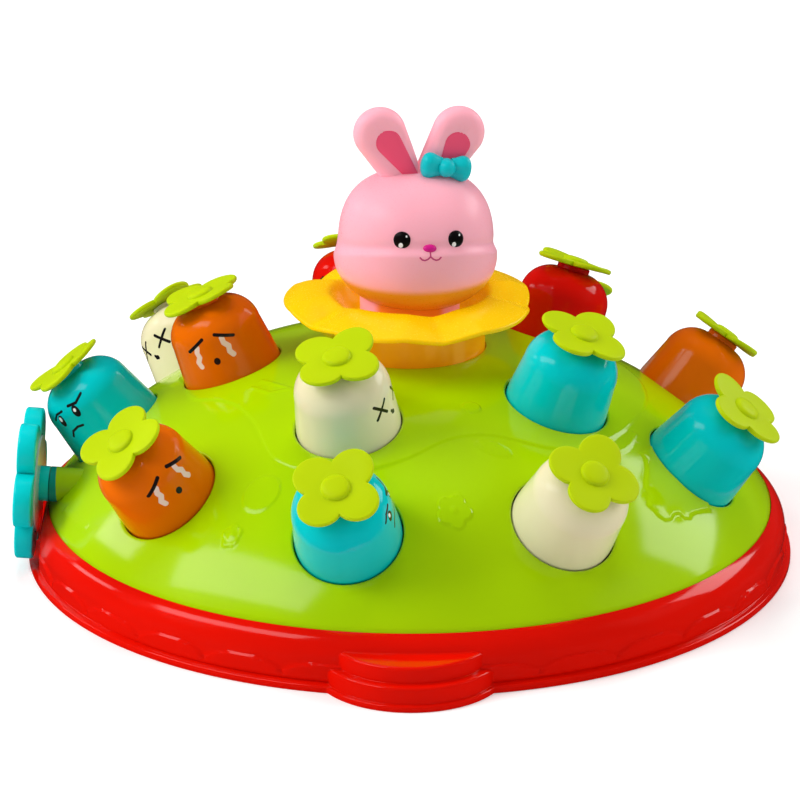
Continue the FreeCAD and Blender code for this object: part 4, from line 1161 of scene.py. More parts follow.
@dataclass
class Relief:
    """Low raised shapes on the dome, by their place seen from above, in millimetres."""

    step: float = 0.55
    ledge: float = 0.5
    coin_rise: float = 0.45
    petal_rise: float = 0.42
    rim_rise: float = 0.2
    hub_rise: float = 0.35
    leaf_rise: float = 0.32
    vein_rise: float = 0.16
    meadow: tuple[Point, ...] = (
        (-89.8, -23.5), (-79.1, -31.2), (-69.6, -41.8), (-63.8, -53.8), (-60.2, -62.7), (-57.5, -72.8),
        (-54.0, -82.2), (-49.2, -86.9), (-44.4, -90.7), (-27.2, -96.9), (-11.7, -96.4), (0.6, -91.5),
        (7.7, -86.3), (13.5, -82.2), (19.4, -79.3), (27.3, -77.0), (35.2, -76.5), (43.0, -77.2),
        (54.8, -77.7), (70, -72), (83, -56), (92, -36), (99, -12), (96, 14), (84, 30), (80, 52), (62, 70),
        (38, 76), (22, 92), (-4, 98), (-26, 84), (-50, 78), (-66, 60), (-88, 48), (-98, 22), (-94, 0),
    )
    jagged: tuple[Point, ...] = (
        (95.3, -52.1), (91.3, -59.4), (93.0, -62.4), (93.2, -67.9), (92.4, -73.7), (92.2, -77.8),
        (94.3, -80.2), (92.6, -85.9), (94.9, -86.4), (96.7, -87.8), (99.8, -87.9), (102.5, -85.6),
        (104.0, -82.1), (106.3, -80.2), (107.8, -81.2), (110.4, -79.1), (112.0, -75.5), (115.0, -72.1),
        (119.5, -67.2),
    )
    jagged_middle: Point = (115.0, -45.0)
    jagged_slope: float = 0.08
    stem: tuple[Point, ...] = ((82, -65.4), (86.8, -59.3), (90.3, -48.2))
    shore: tuple[Point, ...] = ((-140.6, -39.6), (-136.6, -51.4), (-130.1, -63.6))
    lobes: tuple[Point, ...] = ((-63.9, -32.0), (-56.3, -40.3), (-47.8, -40.8), (-60.0, -28.0))
    leaf: tuple[Point, Point] = ((25.3, -81.8), (39.6, -85.1))
    coins: tuple[Triple, ...] = ((24.1, -61.4, 3.7), (-57.5, -97.5, 7.4))
    flowers: tuple[Triple, ...] = ((16.6, -113.7, 6.7), (-68.6, -110.2, 3.9), (64, 100, 6.5))

    def __post_init__(self) -> None:
        """Smooths the long lines."""
        self.meadow = tuple(eased(self.meadow, 2, True))
        self.stem = tuple(eased(self.stem, 2, False))
        self.shore = tuple(eased(self.shore, 2, False))

    def petal_gap(self, spots: np.ndarray, flower: Triple) -> np.ndarray:
        """How far points are outside a small five-petal flower.

        Args:
            spots: The points.
            flower: Its centre and radius.

        Returns:
            The distances, below zero on the flower.
        """
        off = spots[:, :2] - np.array(flower[:2])
        angle = np.arctan2(off[:, 1], off[:, 0])
        reach = flower[2] * (0.72 + 0.28 * np.abs(np.cos(2.5 * angle)) ** 0.8)
        return np.hypot(off[:, 0], off[:, 1]) - reach

    def leaf_gap(self, spots: np.ndarray) -> tuple[np.ndarray, np.ndarray, np.ndarray]:
        """How far points are outside the lens-shaped leaf.

        Args:
            spots: The points.

        Returns:
            Distance from its outline, and the points along and across it.
        """
        start, end = (np.array(p) for p in self.leaf)
        run = (end - start) / np.linalg.norm(end - start)
        off = spots[:, :2] - (start + end) / 2
        along, across = off @ run, off @ np.array([-run[1], run[0]])
        half = np.linalg.norm(end - start) / 2
        return np.hypot(along / half, across / 3.4) * 3.4 - 3.4, along, across

    def height(self, spots: np.ndarray) -> np.ndarray:
        """Height of the relief.

        Args:
            spots: Points, one a row, x and y first.

        Returns:
            The heights over the bare dome.
        """
        edge = path_distance(spots, self.meadow, True)
        signed = np.where(inside(spots, self.meadow), edge, -edge)
        rise = self.step * smooth(signed / 0.8 + 0.5)
        depth = path_distance(spots, self.jagged, False) * inside(spots, [*self.jagged, self.jagged_middle])
        rise += self.ledge * smooth(depth / 0.7) + self.jagged_slope * np.minimum(depth, 14.0)
        for path, width, up in ((self.stem, 0.9, 0.4), (self.shore, 1.0, 0.35), (self.lobes, 0.8, 0.3)):
            rise += up * smooth(1.5 - path_distance(spots, path, False) / width)
        for x, y, radius in self.coins:
            off = np.hypot(spots[:, 0] - x, spots[:, 1] - y) - radius
            rise += self.coin_rise * smooth(0.5 - off / 0.6)
        for flower in self.flowers:
            off = self.petal_gap(spots, flower)
            hub = np.hypot(spots[:, 0] - flower[0], spots[:, 1] - flower[1])
            rim = self.rim_rise * smooth(1.4 - np.abs(off) / 0.45)
            petals = self.petal_rise * smooth(0.5 - off / 0.5)
            rise += petals + rim + self.hub_rise * smooth(1.5 - hub / 1.3)
        off, along, across = self.leaf_gap(spots)
        sides = np.abs(np.abs(across) - (np.abs(along % 3.2 - 1.6)) * 1.2)
        veins = smooth(1.4 - np.minimum(np.abs(across), sides) / 0.35)
        return rise + (self.leaf_rise * smooth(0.5 - off / 0.8) + self.vein_rise * veins * (off < 0))

    def near(self, spots: np.ndarray) -> np.ndarray:
        """Finds the points that need a finer mesh.

        Args:
            spots: The points.

        Returns:
            A mask, true close to an edge of the relief.
        """
        close = path_distance(spots, self.meadow, True) < 2.0
        for path in (self.jagged, self.stem, self.shore, self.lobes):
            close |= path_distance(spots, path, False) < 2.4
        for x, y, radius in (*self.coins, *self.flowers):
            close |= np.hypot(spots[:, 0] - x, spots[:, 1] - y) < radius + 1.8
        return close | (self.leaf_gap(spots)[0] < 1.5)


@dataclass
class DomeCover:
    """The green dome with its relief, the softened holes of the buttons, and their collars."""

    dome: Dome
    column_hole: float = 31.5
    seat_width: float = 8.2
    seat_height: float = 81.4936
    skirt: float = 15.8
    hole: float = 21.4
    collar: float = 23.2
    collar_depth: float = 12.0
    collar_top: float = -3.0
    drill: float = 24.0
    socket_hole: Point = (7.3, 34.0)
    softening: float = 0.9
    steps: int = 360
    relief: Relief = field(default_factory=Relief)
    finish: Plastic = Plastic(
        "apple_green_plastic", srgb(172, 214, 0), roughness=0.11, grain=0.03, drift=0.05,
        ripple=0.035, ripple_size=34, glow=0.06, glow_reach=2.0, gloss=0.42,
    )

    def section(self) -> list[Point]:
        """The dome's closed section, from the column's hole outwards and back inside.

        Returns:
            Radii and heights.
        """
        radii = np.arange(self.column_hole + 0.6, self.dome.rim - 1.0, 2.5)
        outer = [(radius, self.dome.station(radius)[0]) for radius in radii]
        start = self.dome.station(self.column_hole)[0]
        lead = [(self.column_hole, start - 0.6), (self.column_hole + 0.18, start - 0.18)]
        edge = [(self.dome.rim, self.dome.rim_height), (self.dome.rim, self.skirt)]
        wall = self.dome.thickness
        inner = [(self.dome.rim - wall, self.skirt)]
        for radius in np.arange(self.dome.rim - 2.0, self.column_hole + self.seat_width + 2.0, -5.0):
            height, slope = self.dome.station(radius)
            inner.append((radius - wall * math.sin(slope), height - wall * math.cos(slope)))
        seat = self.column_hole + self.seat_width
        inner += [(seat, self.dome.station(seat)[0] - wall), (seat, self.seat_height)]
        return lead + outer + edge + inner + [(self.column_hole, self.seat_height)]

    def hole_gaps(self, spots: np.ndarray, places: Sequence[Matrix]) -> np.ndarray:
        """Distance of points from the edge of the nearest button hole, on the outer surface.

        Args:
            spots: The points.
            places: The buttons' frames.

        Returns:
            The distances, below zero over a hole.
        """
        best = np.full(len(spots), 1e9)
        for place in places:
            local = (spots - np.array(place.translation)) @ np.array(place.to_3x3())
            gap = np.hypot(local[:, 0], local[:, 1]) - self.hole
            best = np.minimum(best, np.where(np.abs(local[:, 2]) < 12, gap, 1e9))
        return best

    def outer_face(self, spots: np.ndarray) -> tuple[np.ndarray, np.ndarray, np.ndarray]:
        """Which points are on the outer surface, with their radii and the slopes there.

        Args:
            spots: The points.

        Returns:
            A mask, the radii and the slopes.
        """
        radii = np.hypot(spots[:, 0], spots[:, 1])
        heights, slopes = self.dome.stations(radii)
        return (np.abs(spots[:, 2] - heights) < 0.35) & (radii < self.dome.rim - 0.4), radii, slopes

    def build(self, places: Sequence[Matrix], socket: Matrix) -> None:
        """Builds the dome.

        Args:
            places: The buttons' frames.
            socket: Frame of the side flower's pin.
        """

        def by_hole(spots: np.ndarray, reach: float) -> np.ndarray:
            """Points near the edge of a button's hole."""
            return np.abs(self.hole_gaps(spots, places) - 0.4) < reach

        def raised(spots: np.ndarray) -> np.ndarray:
            """Lifts the relief and rounds the holes' edges.

            Args:
                spots: Points of the cover.

            Returns:
                The points in their new places.
            """
            on_top, radii, slopes = self.outer_face(spots)
            rise = self.relief.height(spots)
            turn = np.clip(1 - self.hole_gaps(spots, places) / self.softening, 0, 1)
            rise -= self.softening * (1 - np.sqrt(1 - 0.98 * turn * turn))
            x, y, lean = spots[:, 0] / radii, spots[:, 1] / radii, np.sin(slopes)
            normals = np.stack([x * lean, y * lean, np.cos(slopes)], axis=1)
            return spots + normals * (rise * on_top)[:, None]

        form = Form().turned(self.section(), self.steps)
        form.refined(lambda s: self.outer_face(s)[0] & (self.relief.near(s) | by_hole(s, 2.6)), 3)
        form.refined(lambda s: self.outer_face(s)[0] & by_hole(s, 1.0), 1)
        form.shifted(raised)
        collars, cutters = Form(), Form()
        for place in places:
            collars.joined(Form().drum(self.collar, -self.collar_depth, self.collar_top).placed(place))
            cutters.joined(Form().drum(self.hole, -self.drill, self.drill, 120).placed(place))
        cutters.joined(Form().drum(self.socket_hole[0], 0, self.socket_hole[1], 64).placed(socket))
        form.combined(collars, "UNION").combined(cutters, "DIFFERENCE")
        form.piece("dome_shell", self.finish.material(), "base", "green_shell", ["dome_cover"], 40)


# ---------------------------------------------------------------- base


@dataclass
class BaseRing:
    """The red ring with its arched relief, rounded shoulder, front step and side pocket."""

    wall: float = 157.3
    lip: float = 160.0
    lip_height: float = 2.6
    foot: float = 3.5
    wall_top: float = 11.0
    shoulder: Point = (155.3, 18.4)
    rim: Point = (151.2, 22.0)
    inner: tuple[Point, ...] = (
        (151.2, 15.8), (137, 15.8), (137, 13.5), (154.8, 13.5), (154.8, 6.0), (151.0, 6.0),
        (151.0, 4.0), (154.8, 4.0), (154.8, 0),
    )
    core: float = 154.9
    arches: int = 30
    arch_rise: float = 0.85
    step_centre: float = -137.5
    tiers: tuple[Point, ...] = ((36.74, 2.6), (35.2, 9.3), (31.6, 15.8))
    tier_wall: float = 2.4
    pocket_face: float = -151.4
    pocket_middle: float = -21.0
    pocket_half: float = 37.5
    pocket_floor: float = 1.3
    backing: Triple = (2.4, 6.0, 15.8)
    backing_reach: float = 156.8
    finish: Plastic = Plastic(
        "red_gloss_plastic", srgb(232, 14, 0), roughness=0.1, grain=0.03, drift=0.07,
        ripple=0.03, ripple_size=22, glow=0.03, gloss=0.4,
    )

    def section(self) -> list[Point]:
        """The ring's closed section, up the outside and back down the inside.

        Returns:
            Radii and heights.
        """
        lip = [(self.lip - 6, 0), (self.lip, 0, 0.5), (self.lip, self.lip_height, 1.1)]
        lower = rounded([*lip, (self.wall, self.foot, 0.7), (self.wall, 9)], False)
        wall = [(self.wall, z) for z in np.arange(5.0, self.wall_top, 0.75)]
        bend = arc((self.wall, self.wall_top), self.shoulder, self.rim, 14)
        return lower[1:-1] + wall + bend + list(self.inner)

    def raised(self, spots: np.ndarray) -> np.ndarray:
        """Lifts the wall below a row of arches.

        Args:
            spots: Points of the ring.

        Returns:
            The points in their new places.
        """
        radii = np.hypot(spots[:, 0], spots[:, 1])
        pitch = math.tau / self.arches
        share = (np.arctan2(spots[:, 1], spots[:, 0]) / pitch) % 1.0
        line = 5.2 + 5.6 * np.sqrt(np.clip(1 - (2 * share - 1) ** 2, 0, 1))
        height = spots[:, 2]
        on_wall = (radii > self.wall - 1.6) & (height > 3.6) & (height < 16)
        rise = self.arch_rise * smooth((line - height) / 0.7 + 0.5) * smooth((height - 3.7) / 0.5)
        factor = 1 + np.where(on_wall, rise, 0) / radii
        return np.column_stack([spots[:, 0] * factor, spots[:, 1] * factor, height])

    def step(self) -> Form:
        """The front step, hollow from below.

        Returns:
            The form.
        """
        (r0, h0), (r1, h1), (r2, h2) = self.tiers
        outer = rounded([
            (0, 0), (r0, 0, 0.4), (r0, h0, 1.0), (r1, h0, 0.3), (r1, h1, 1.3), (r2, h1, 0.4),
            (r2, h2, 1.3), (0, h2),
        ])
        r1, h1, r2, h2 = (size - self.tier_wall for size in (r1, h1, r2, h2))
        inner = [(0, -1), (r1, -1), (r1, h1), (r2, h1), (r2, h2), (0, h2)]
        middle = Matrix.Translation((0, self.step_centre, 0))
        form = Form().turned(outer, 160).placed(middle)
        form.combined(Form().turned(inner, 120).placed(middle), "DIFFERENCE")
        return form.combined(Form().drum(self.core, -2, 30, 240), "DIFFERENCE")

    def build(self) -> None:
        """Builds the ring."""
        form = Form().turned(self.section(), 720).shifted(self.raised)
        form.combined(self.step(), "UNION")
        thick, low, high = self.backing
        middle = (self.pocket_face + thick / 2, self.pocket_middle, (low + high) / 2)
        backing = Form().block(middle, (thick, 2 * self.pocket_half, high - low))
        backing.combined(Form().drum(self.backing_reach, 0, 20, 240), "INTERSECT")
        form.combined(backing, "UNION")
        middle = (self.pocket_face - 15, self.pocket_middle, self.pocket_floor + 15)
        form.combined(Form().block(middle, (30, 2 * self.pocket_half, 30)), "DIFFERENCE")
        material = self.finish.material()
        form.piece("base_ring_shell", material, "base", "red_shell", ["base_ring"], 35)


# ---------------------------------------------------------------- buttons


@dataclass
class ButtonSet:
    """The bell buttons with their printed faces, and the leaf cap on each."""

    dome: Dome
    seats: list[Seat]
    skirt: tuple[Point, ...] = ((22.6, -14.5), (22.6, -12.3), (20.8, -12.3), (20.8, 0), (20.0, 7.7))
    shoulder: Point = (19.2, 15.5)
    cheek: Point = (15.36, 25.24)
    crown: Point = (7.0, 29.1)
    hollow: tuple[Point, ...] = ((6.2, 26.9), (13.9, 23.6), (17.2, 15.2))
    stem: tuple[Point, ...] = (
        (0, -36), (5.0, -36), (5.0, -5), (8.4, -5), (8.4, -3), (5.0, -3), (5.0, 26.9),
    )
    seat_height: float = 31.2
    leaf_offset: float = 9.9
    leaf_lobe: float = 8.5
    leaf_thickness: float = 2.0
    leaf_lift: float = 1.6
    leaf_hub: float = 6.0
    leaf_boss: tuple[Point, ...] = (
        (5.8, 0.0), (5.66, 0.06), (5.5, 0.6), (5.15, 1.1), (4.3, 1.5), (3.0, 1.7), (1.5, 1.78), (0.0, 1.8),
    )
    shell: Plastic = Plastic(
        "button_plastic", srgb(255, 255, 255), roughness=0.12, grain=0.03, drift=0.05, ripple=0.02,
        ripple_size=14, glow=0.05, glow_reach=2.5, gloss=0.3,
    )
    leaf_finish: Plastic = Plastic(
        "leaf_green_plastic", srgb(190, 214, 0), roughness=0.42, grain=0.08, drift=0.07, ripple=0.04,
        ripple_size=9, glow=0.12, glow_reach=2.0, gloss=0.15,
    )
    shells: dict[str, tuple[Colour, str]] = field(default_factory=lambda: {
        "turquoise": (srgb(0, 202, 206), "turquoise_button"),
        "orange": (srgb(236, 108, 0), "orange_button"),
        "white": (srgb(238, 228, 188), "white_button"),
        "red": (srgb(224, 14, 2), "red_button"),
    })

    def section(self) -> list[Point]:
        """A button's closed section: bell wall, flange, stem and spring shoulder.

        Returns:
            Radii and heights.
        """
        inside = arc(*self.hollow, 8) + [(18.8, -12.0), (18.8, -14.5)]
        bell = arc(self.shoulder, self.cheek, self.crown, 18)
        cap = rounded([(7.0, 29.5), (7.0, self.seat_height, 0.6), (0, self.seat_height)], False)
        return [*self.stem, *inside, *self.skirt, *bell, *cap]

    def frame_of(self, seat: Seat) -> Matrix:
        """The seat's frame in millimetres."""
        return self.dome.button_place(seat.radius, seat.angle, seat.lean)

    def face_frame(self, seat: Seat) -> Matrix:
        """Frame of a printed face: right, up along the button, and outwards.

        Args:
            seat: The button's seat.

        Returns:
            The frame, in millimetres.
        """
        angle = math.radians(seat.face_turn)
        out = Vector((math.cos(angle), math.sin(angle), 0))
        up = Vector((0, 0, 1))
        right = up.cross(out)
        turn = Matrix((right, up, out)).transposed().to_4x4()
        return self.frame_of(seat) @ Matrix.Translation((0, 0, seat.face_rise)) @ turn

    def button(self, seat: Seat) -> None:
        """Builds one button.

        Args:
            seat: Its seat.
        """
        colour, slot = self.shells[seat.colour]
        finish = replace(self.shell, name=f"{seat.colour}_{seat.name}", colour=colour)
        material = Print(self.face_frame(seat), DRAWINGS[seat.face]).draw(finish.shader())
        form = Form().turned(self.section(), 112).placed(self.frame_of(seat))
        body, nodes = f"plunger_{seat.name}", [f"button_{seat.name}"]
        form.piece(f"bell_{seat.name}", material, body, slot, nodes, 45)

    def leaf(self, seat: Seat, material: bpy.types.Material) -> None:
        """Builds one leaf cap: four round lobes with soft edges, a low boss and a peg.

        Args:
            seat: The seat of its button.
            material: The leaf's finish.
        """
        half, hub = self.leaf_thickness / 2, self.leaf_hub
        turns = [math.radians(a) for a in range(0, 181, 20)]
        edge = [(hub + (1 - (1 - math.sin(a)) * 0.075), -half * math.cos(a)) for a in turns]
        peg = [(0.0, -6.0), (2.2, -6.0), (2.6, -5.6), (2.6, -half), (5.8, -half)]
        under = [(hub + share, -half) for share in (0.0, 0.3, 0.6)]
        over = [(hub + share, half) for share in (0.6, 0.3, 0.0)]
        boss = [(radius, half + rise) for radius, rise in self.leaf_boss]
        outline = lobed(4, self.leaf_offset, self.leaf_lobe)
        form = plate(outline, peg + under + edge + over + boss, hub, 176)
        reach = self.leaf_offset + self.leaf_lobe

        def bent(spots: np.ndarray) -> np.ndarray:
            """Bends two lobes up and gives the sheet a light wave.

            Args:
                spots: Points of the leaf.

            Returns:
                The points in their new places.
            """
            x, y = spots[:, 0] / reach, spots[:, 1] / reach
            radius = np.hypot(x, y)
            wave = 0.35 * np.sin(3.1 * x + 1.2 * y) * smooth((radius - 0.3) / 0.5)
            rise = (self.leaf_lift * y * y + wave * 0.6) * (radius > 0.16)
            return np.column_stack([spots[:, :2], spots[:, 2] + rise])

        form.shifted(bent)
        turn = Matrix.Rotation(math.radians(seat.leaf_turn), 4, "Z")
        form.placed(self.frame_of(seat) @ Matrix.Translation((0, 0, self.seat_height + half)) @ turn)
        body, nodes = f"plunger_{seat.name}", [f"leaf_{seat.name}"]
        form.piece(f"clover_{seat.name}", material, body, "leaf", nodes, 50)

    def build(self) -> list[Matrix]:
        """Builds all buttons and leaves.

        Returns:
            The buttons' frames.
        """
        material = self.leaf_finish.material()
        for seat in self.seats:
            self.button(seat)
            self.leaf(seat, material)
        return [self.frame_of(seat) for seat in self.seats]


# ---------------------------------------------------------------- column and dish


@dataclass
class FlowerDish:
    """The yellow dish of five petals round the rabbit's neck."""

    petals: int = 5
    first: float = 34.0
    offset: float = 14.0
    lobe: float = 38.0
    hole: float = 21.0
    floor: Point = (24.0, 99.99)
    crest: Point = (34.0, 110.6)
    tip: Point = (52.0, 106.2)
    thickness: float = 2.3
    base: float = 97.99
    base_reach: float = 32.5
    valley: float = 4.2
    valley_half: float = 19.0
    pitch: float = 0.03
    # The dish carries a painted glow: emission that evens out its shading.
    finish: ClearPlastic = ClearPlastic(
        "clear_yellow_plastic", srgb(245, 195, 2), srgb(246, 192, 0), 98, 104, clear=0.04,
        roughness=0.24, glow=0.35, painted_glow=0.17, gloss=0.35,
    )

    def top(self, radius: float, angle: float) -> float:
        """Height of the upper face.

        Args:
            radius: Distance from the axis.
            angle: Angle round it in radians.

        Returns:
            The height.
        """
        if radius <= self.crest[0]:
            share = max(0.0, (radius - self.floor[0]) / (self.crest[0] - self.floor[0]))
            height = self.floor[1] + (self.crest[1] - self.floor[1]) * smooth(share)
        else:
            share = (radius - self.crest[0]) / (self.tip[0] - self.crest[0])
            height = self.crest[1] - (self.crest[1] - self.tip[1]) * share**2.5
        pitch = math.tau / self.petals
        off = (angle - math.radians(self.first)) % pitch - pitch / 2
        crease = max(0.0, 1 - abs(off) / math.radians(self.valley_half)) ** 1.15
        ramp = max(0.0, min(1.0, (radius - 28.5) / 11))
        tip_up = self.pitch * radius * math.sin(angle) * smooth((radius - 30) / 16)
        return height + tip_up - self.valley * crease * ramp

    def build(self) -> None:
        """Builds the dish."""
        outline = lobed(self.petals, self.offset, self.lobe, self.first)
        half = self.thickness / 2
        shares = [i / 22 for i in range(23)]
        round_edge = [math.radians(a) for a in range(15, 180, 15)]
        rows = [("top", s) for s in shares] + [("edge", a) for a in round_edge]
        rows += [("under", s) for s in reversed(shares)]

        def place(turn: float, along: float) -> Sequence[float]:
            """Point of the dish's skin for two shares.

            Args:
                turn: Share of the way round.
                along: Share of the way along the section.

            Returns:
                The point.
            """
            angle = turn * math.tau
            rim = outline(angle) - half
            kind, value = rows[round(along * (len(rows) - 1)) % len(rows)]
            radius = self.hole + (rim - self.hole) * (value if kind != "edge" else 1.0)
            height = self.top(radius, angle)
            if kind == "edge":
                radius += half * math.sin(value)
                height += -half + half * math.cos(value)
            elif kind == "under":
                height -= self.thickness
                if radius < self.base_reach:
                    height = self.base
            return (radius * math.cos(angle), radius * math.sin(angle), height)

        rows.append(rows[0])
        form = Form().draped(240, len(rows) - 1, place)
        material = self.finish.material()
        form.piece("petal_dish", material, "base", "yellow_dish", ["flower_dish"], 50)


# ---------------------------------------------------------------- rabbit


def oval_gap(spots: np.ndarray, centre: Sequence[float], radii: Sequence[float]) -> np.ndarray:
    """Near distance of points from an ellipsoid.

    Args:
        spots: The points.
        centre: Its centre.
        radii: Its three radii.

    Returns:
        The distances, below zero inside.
    """
    off, size = spots - np.array(centre), np.array(radii)
    near = np.linalg.norm(off / size, axis=1)
    return near * (near - 1) / np.maximum(np.linalg.norm(off / size**2, axis=1), 1e-9)


def soft_union(first: np.ndarray, second: np.ndarray, blend: float) -> np.ndarray:
    """Distance from two shapes that melt into each other."""
    share = np.clip(0.5 + 0.5 * (second - first) / blend, 0, 1)
    return second + (first - second) * share - blend * share * (1 - share)


def drop_gap(
    spots: np.ndarray, low: Point, low_radius: float, high: Point, high_radius: float,
) -> np.ndarray:
    """Distance in the XZ plane from a drop: two circles wrapped by their tangents.

    Args:
        spots: The points.
        low: Centre of the small circle, across and up.
        low_radius: Its radius.
        high: Centre of the large circle.
        high_radius: Its radius.

    Returns:
        The distances, below zero inside.
    """
    start, end = np.array(low), np.array(high)
    run = end - start
    rise = np.linalg.norm(run)
    run = run / rise
    off = spots[:, (0, 2)] - start
    along, across = off @ run, np.abs(off @ np.array([run[1], -run[0]]))
    sine = (low_radius - high_radius) / rise
    cosine = math.sqrt(1 - sine**2)
    level = along * cosine - across * sine
    lower = np.hypot(across, along) - low_radius
    upper = np.hypot(across, along - rise) - high_radius
    side = across * cosine + along * sine - low_radius
    return np.where(level < 0, lower, np.where(level > rise * cosine, upper, side))


@dataclass
class Rabbit:
    """The rabbit's head: skull and cheeks, ears with darker pads, bow, eyes, nose and mouth."""

    body: str = "rabbit"
    top: float = 97.99
    pivot_drop: float = 54.0
    yaw: float = 10.0
    lean: float = 1.6
    skull: float = 31.9
    skull_height: float = 129.29
    boxy: float = 2.6
    jaw: float = 23.0
    cheeks: Point = (32.9, 21.7)
    cheek_height: float = 124.69
    cheek_pitch: float = 0.5
    fold_height: float = 129.0
    fold_pitch: float = 13.5
    fold_depth: float = 1.5
    bottom: float = 104.29
    ear_spread: float = 2.2
    ear_base: float = 151.99
    ear_tilt: float = 29.5
    ear_half: float = 5.0
    ear_bend: float = 4.7
    ear_hollow: float = 0.8
    ear_drop: tuple[Point, float, Point, float] = ((0.0, 0.0), 6.5, (0.0, 28.4), 10.7)
    pad_drop: tuple[Point, float, Point, float] = ((3.3, 6.5), 2.4, (1.2, 24.4), 5.2)
    pad_middle: Point = (1.8, 18.0)
    eye_spread: float = 10.8
    eye_height: float = 139.5
    nose_height: float = 136.6
    bow_centre: Triple = (10.2, -6.6, 163.89)
    bow_turn: float = 7.0
    eye_turn: float = 20.0
    eye: Triple = (3.7, 2.0, 3.75)
    nose: Triple = (2.9, 2.1, 1.9)
    mouth_colour: Colour = srgb(190, 20, 104)
    face_depth: float = 10.0
    # The pink skin carries a painted glow: emission standing in for light through the soft vinyl.
    pink: Plastic = Plastic(
        "soft_pink_vinyl", srgb(255, 175, 190), roughness=0.3, grain=0.06, drift=0.03, ripple=0.03,
        ripple_size=12, skin=0.002, glow=0.22, glow_reach=4.0, gloss=0.35, painted_glow=0.07,
    )
    # Painted bounce light: orange from the yellow dish laid into the skin towards the underside of the
    # head.
    painted_dish_bounce: tuple[Tint, ...] = (
        Tint(srgb(226, 152, 0), 2, 116.4, 120.4, 0.97), Tint(srgb(208, 132, 0), 2, 104.0, 114.0),
    )
    # The pads carry a painted glow as well.
    rose: Plastic = Plastic(
        "rose_vinyl", srgb(248, 84, 122), roughness=0.4, grain=0.08, drift=0.07, skin=0.002,
        glow=0.15, glow_reach=3.0, gloss=0.3, painted_glow=0.05,
    )
    aqua: Plastic = Plastic(
        "aqua_bow_plastic", srgb(0, 200, 206), roughness=0.3, drift=0.06, ripple=0.03,
        ripple_size=5, gloss=0.3,
    )
    black: Plastic = Plastic(
        "black_eye_paint", srgb(14, 10, 12), roughness=0.32, grain=0.04, ripple=0.004,
        ripple_size=4, gloss=0.25,
    )
    magenta: Plastic = Plastic(
        "magenta_nose_gloss", srgb(220, 24, 138), roughness=0.2, ripple=0.01, ripple_size=4,
    )

    def place(self) -> Matrix:
        """Turns the head to one side and leans it a little.

        Returns:
            The head's frame.
        """
        pivot = Matrix.Translation((0, 0, self.top - self.pivot_drop))
        lean = pivot @ Matrix.Rotation(math.radians(self.lean), 4, "Y") @ pivot.inverted()
        return lean @ Matrix.Rotation(math.radians(self.yaw), 4, "Z")

    def head_gap(self, spots: np.ndarray) -> np.ndarray:
        """Distance of points from the head's skin.

        Args:
            spots: The points, in the head's own frame.

        Returns:
            The distances, below zero inside.
        """
        off = np.abs(spots - np.array((0, 0, self.skull_height))) / self.skull
        off[:, 2] *= np.where(spots[:, 2] < self.skull_height, self.skull / self.jaw, 1.0)
        front_view = (off[:, 0] ** self.boxy + off[:, 2] ** self.boxy) ** (1 / self.boxy)
        ball = (np.hypot(front_view, off[:, 1]) - 1) * self.skull
        tilt = np.array(Matrix.Rotation(math.radians(-self.cheek_pitch), 3, "X"))
        local = (spots - np.array((0, 0, self.cheek_height))) @ tilt
        cheeks = oval_gap(local, (0, 0, 0), (self.cheeks[0], self.cheeks[0], self.cheeks[1]))
        below = self.fold_height - np.tan(math.radians(self.fold_pitch)) * spots[:, 1] - spots[:, 2]
        lip = self.fold_depth * smooth((below + 1.2) / 4.4) * (1 - 0.6 * smooth((below - 6) / 12))
        groove = 0.4 * np.exp(-(((below + 1.2) / 1.8) ** 2))
        return soft_union(ball - lip + groove, cheeks, 1.6)

    def face_front(self, across: float, height: float) -> float:
        """How far in front the skin is at a place on the face.

        Args:
            across: Place across the face.
            height: Height in the head's frame.

        Returns:
            The place along Y.
        """
        reach = np.linspace(-36, 0, 1500)
        spots = np.column_stack([np.full(1500, across), reach, np.full(1500, height)])
        return float(reach[int(np.argmax(self.head_gap(spots) < 0))])

    def face_frame(self) -> Matrix:
        """Frame of what is drawn on the face: right, up and towards the front."""
        turn = Matrix(((1, 0, 0), (0, 0, -1), (0, 1, 0))).to_4x4()
        return self.place() @ turn

    def head(self) -> None:
        """Builds the head with the mouth drawn under the nose, and orange bounce light from the dish
        painted on its underside.
        """
        form = Form().ball((0, 0, 126), 60, self.head_gap, 7)
        form.placed(self.place())
        form.shifted(lambda s: np.column_stack([s[:, :2], np.maximum(s[:, 2], self.bottom)]))
        z = self.nose_height
        half = [(0.0, z - 2.5), (1.1, z - 3.5), (2.3, z - 3.95), (3.4, z - 3.7), (4.2, z - 2.9)]
        mouth = chain([(-x, y) for x, y in reversed(half)] + half[1:], 0.34)
        line = (Stroke((0, z - 1.0), (0, z - 2.4), 0.32),)
        mouth_print = Print(self.face_frame(), (Ink(self.mouth_colour, mouth + line),), self.face_depth)
        # The head's skin carries the painted bounce light from the dish and the painted glow.
        shader = replace(self.pink, name="pink_vinyl_painted_bounce", tints=self.painted_dish_bounce).shader()
        form.piece("rabbit_skin", mouth_print.draw(shader), self.body, "pink_shell", ["rabbit_head"], 60)

    def ear_frame(self, side: int) -> Matrix:
        """Frame of one ear in the head's frame."""
        spot = Matrix.Translation((side * self.ear_spread, 0, self.ear_base))
        return spot @ Matrix.Rotation(math.radians(side * self.ear_tilt), 4, "Y")

    def pad_gap(self, spots: np.ndarray, margin: float = 0.0) -> np.ndarray:
        """Distance of points from the outline of the darker pad in an ear."""
        low, low_radius, high, high_radius = self.pad_drop
        return drop_gap(spots, low, low_radius + margin, high, high_radius + margin)

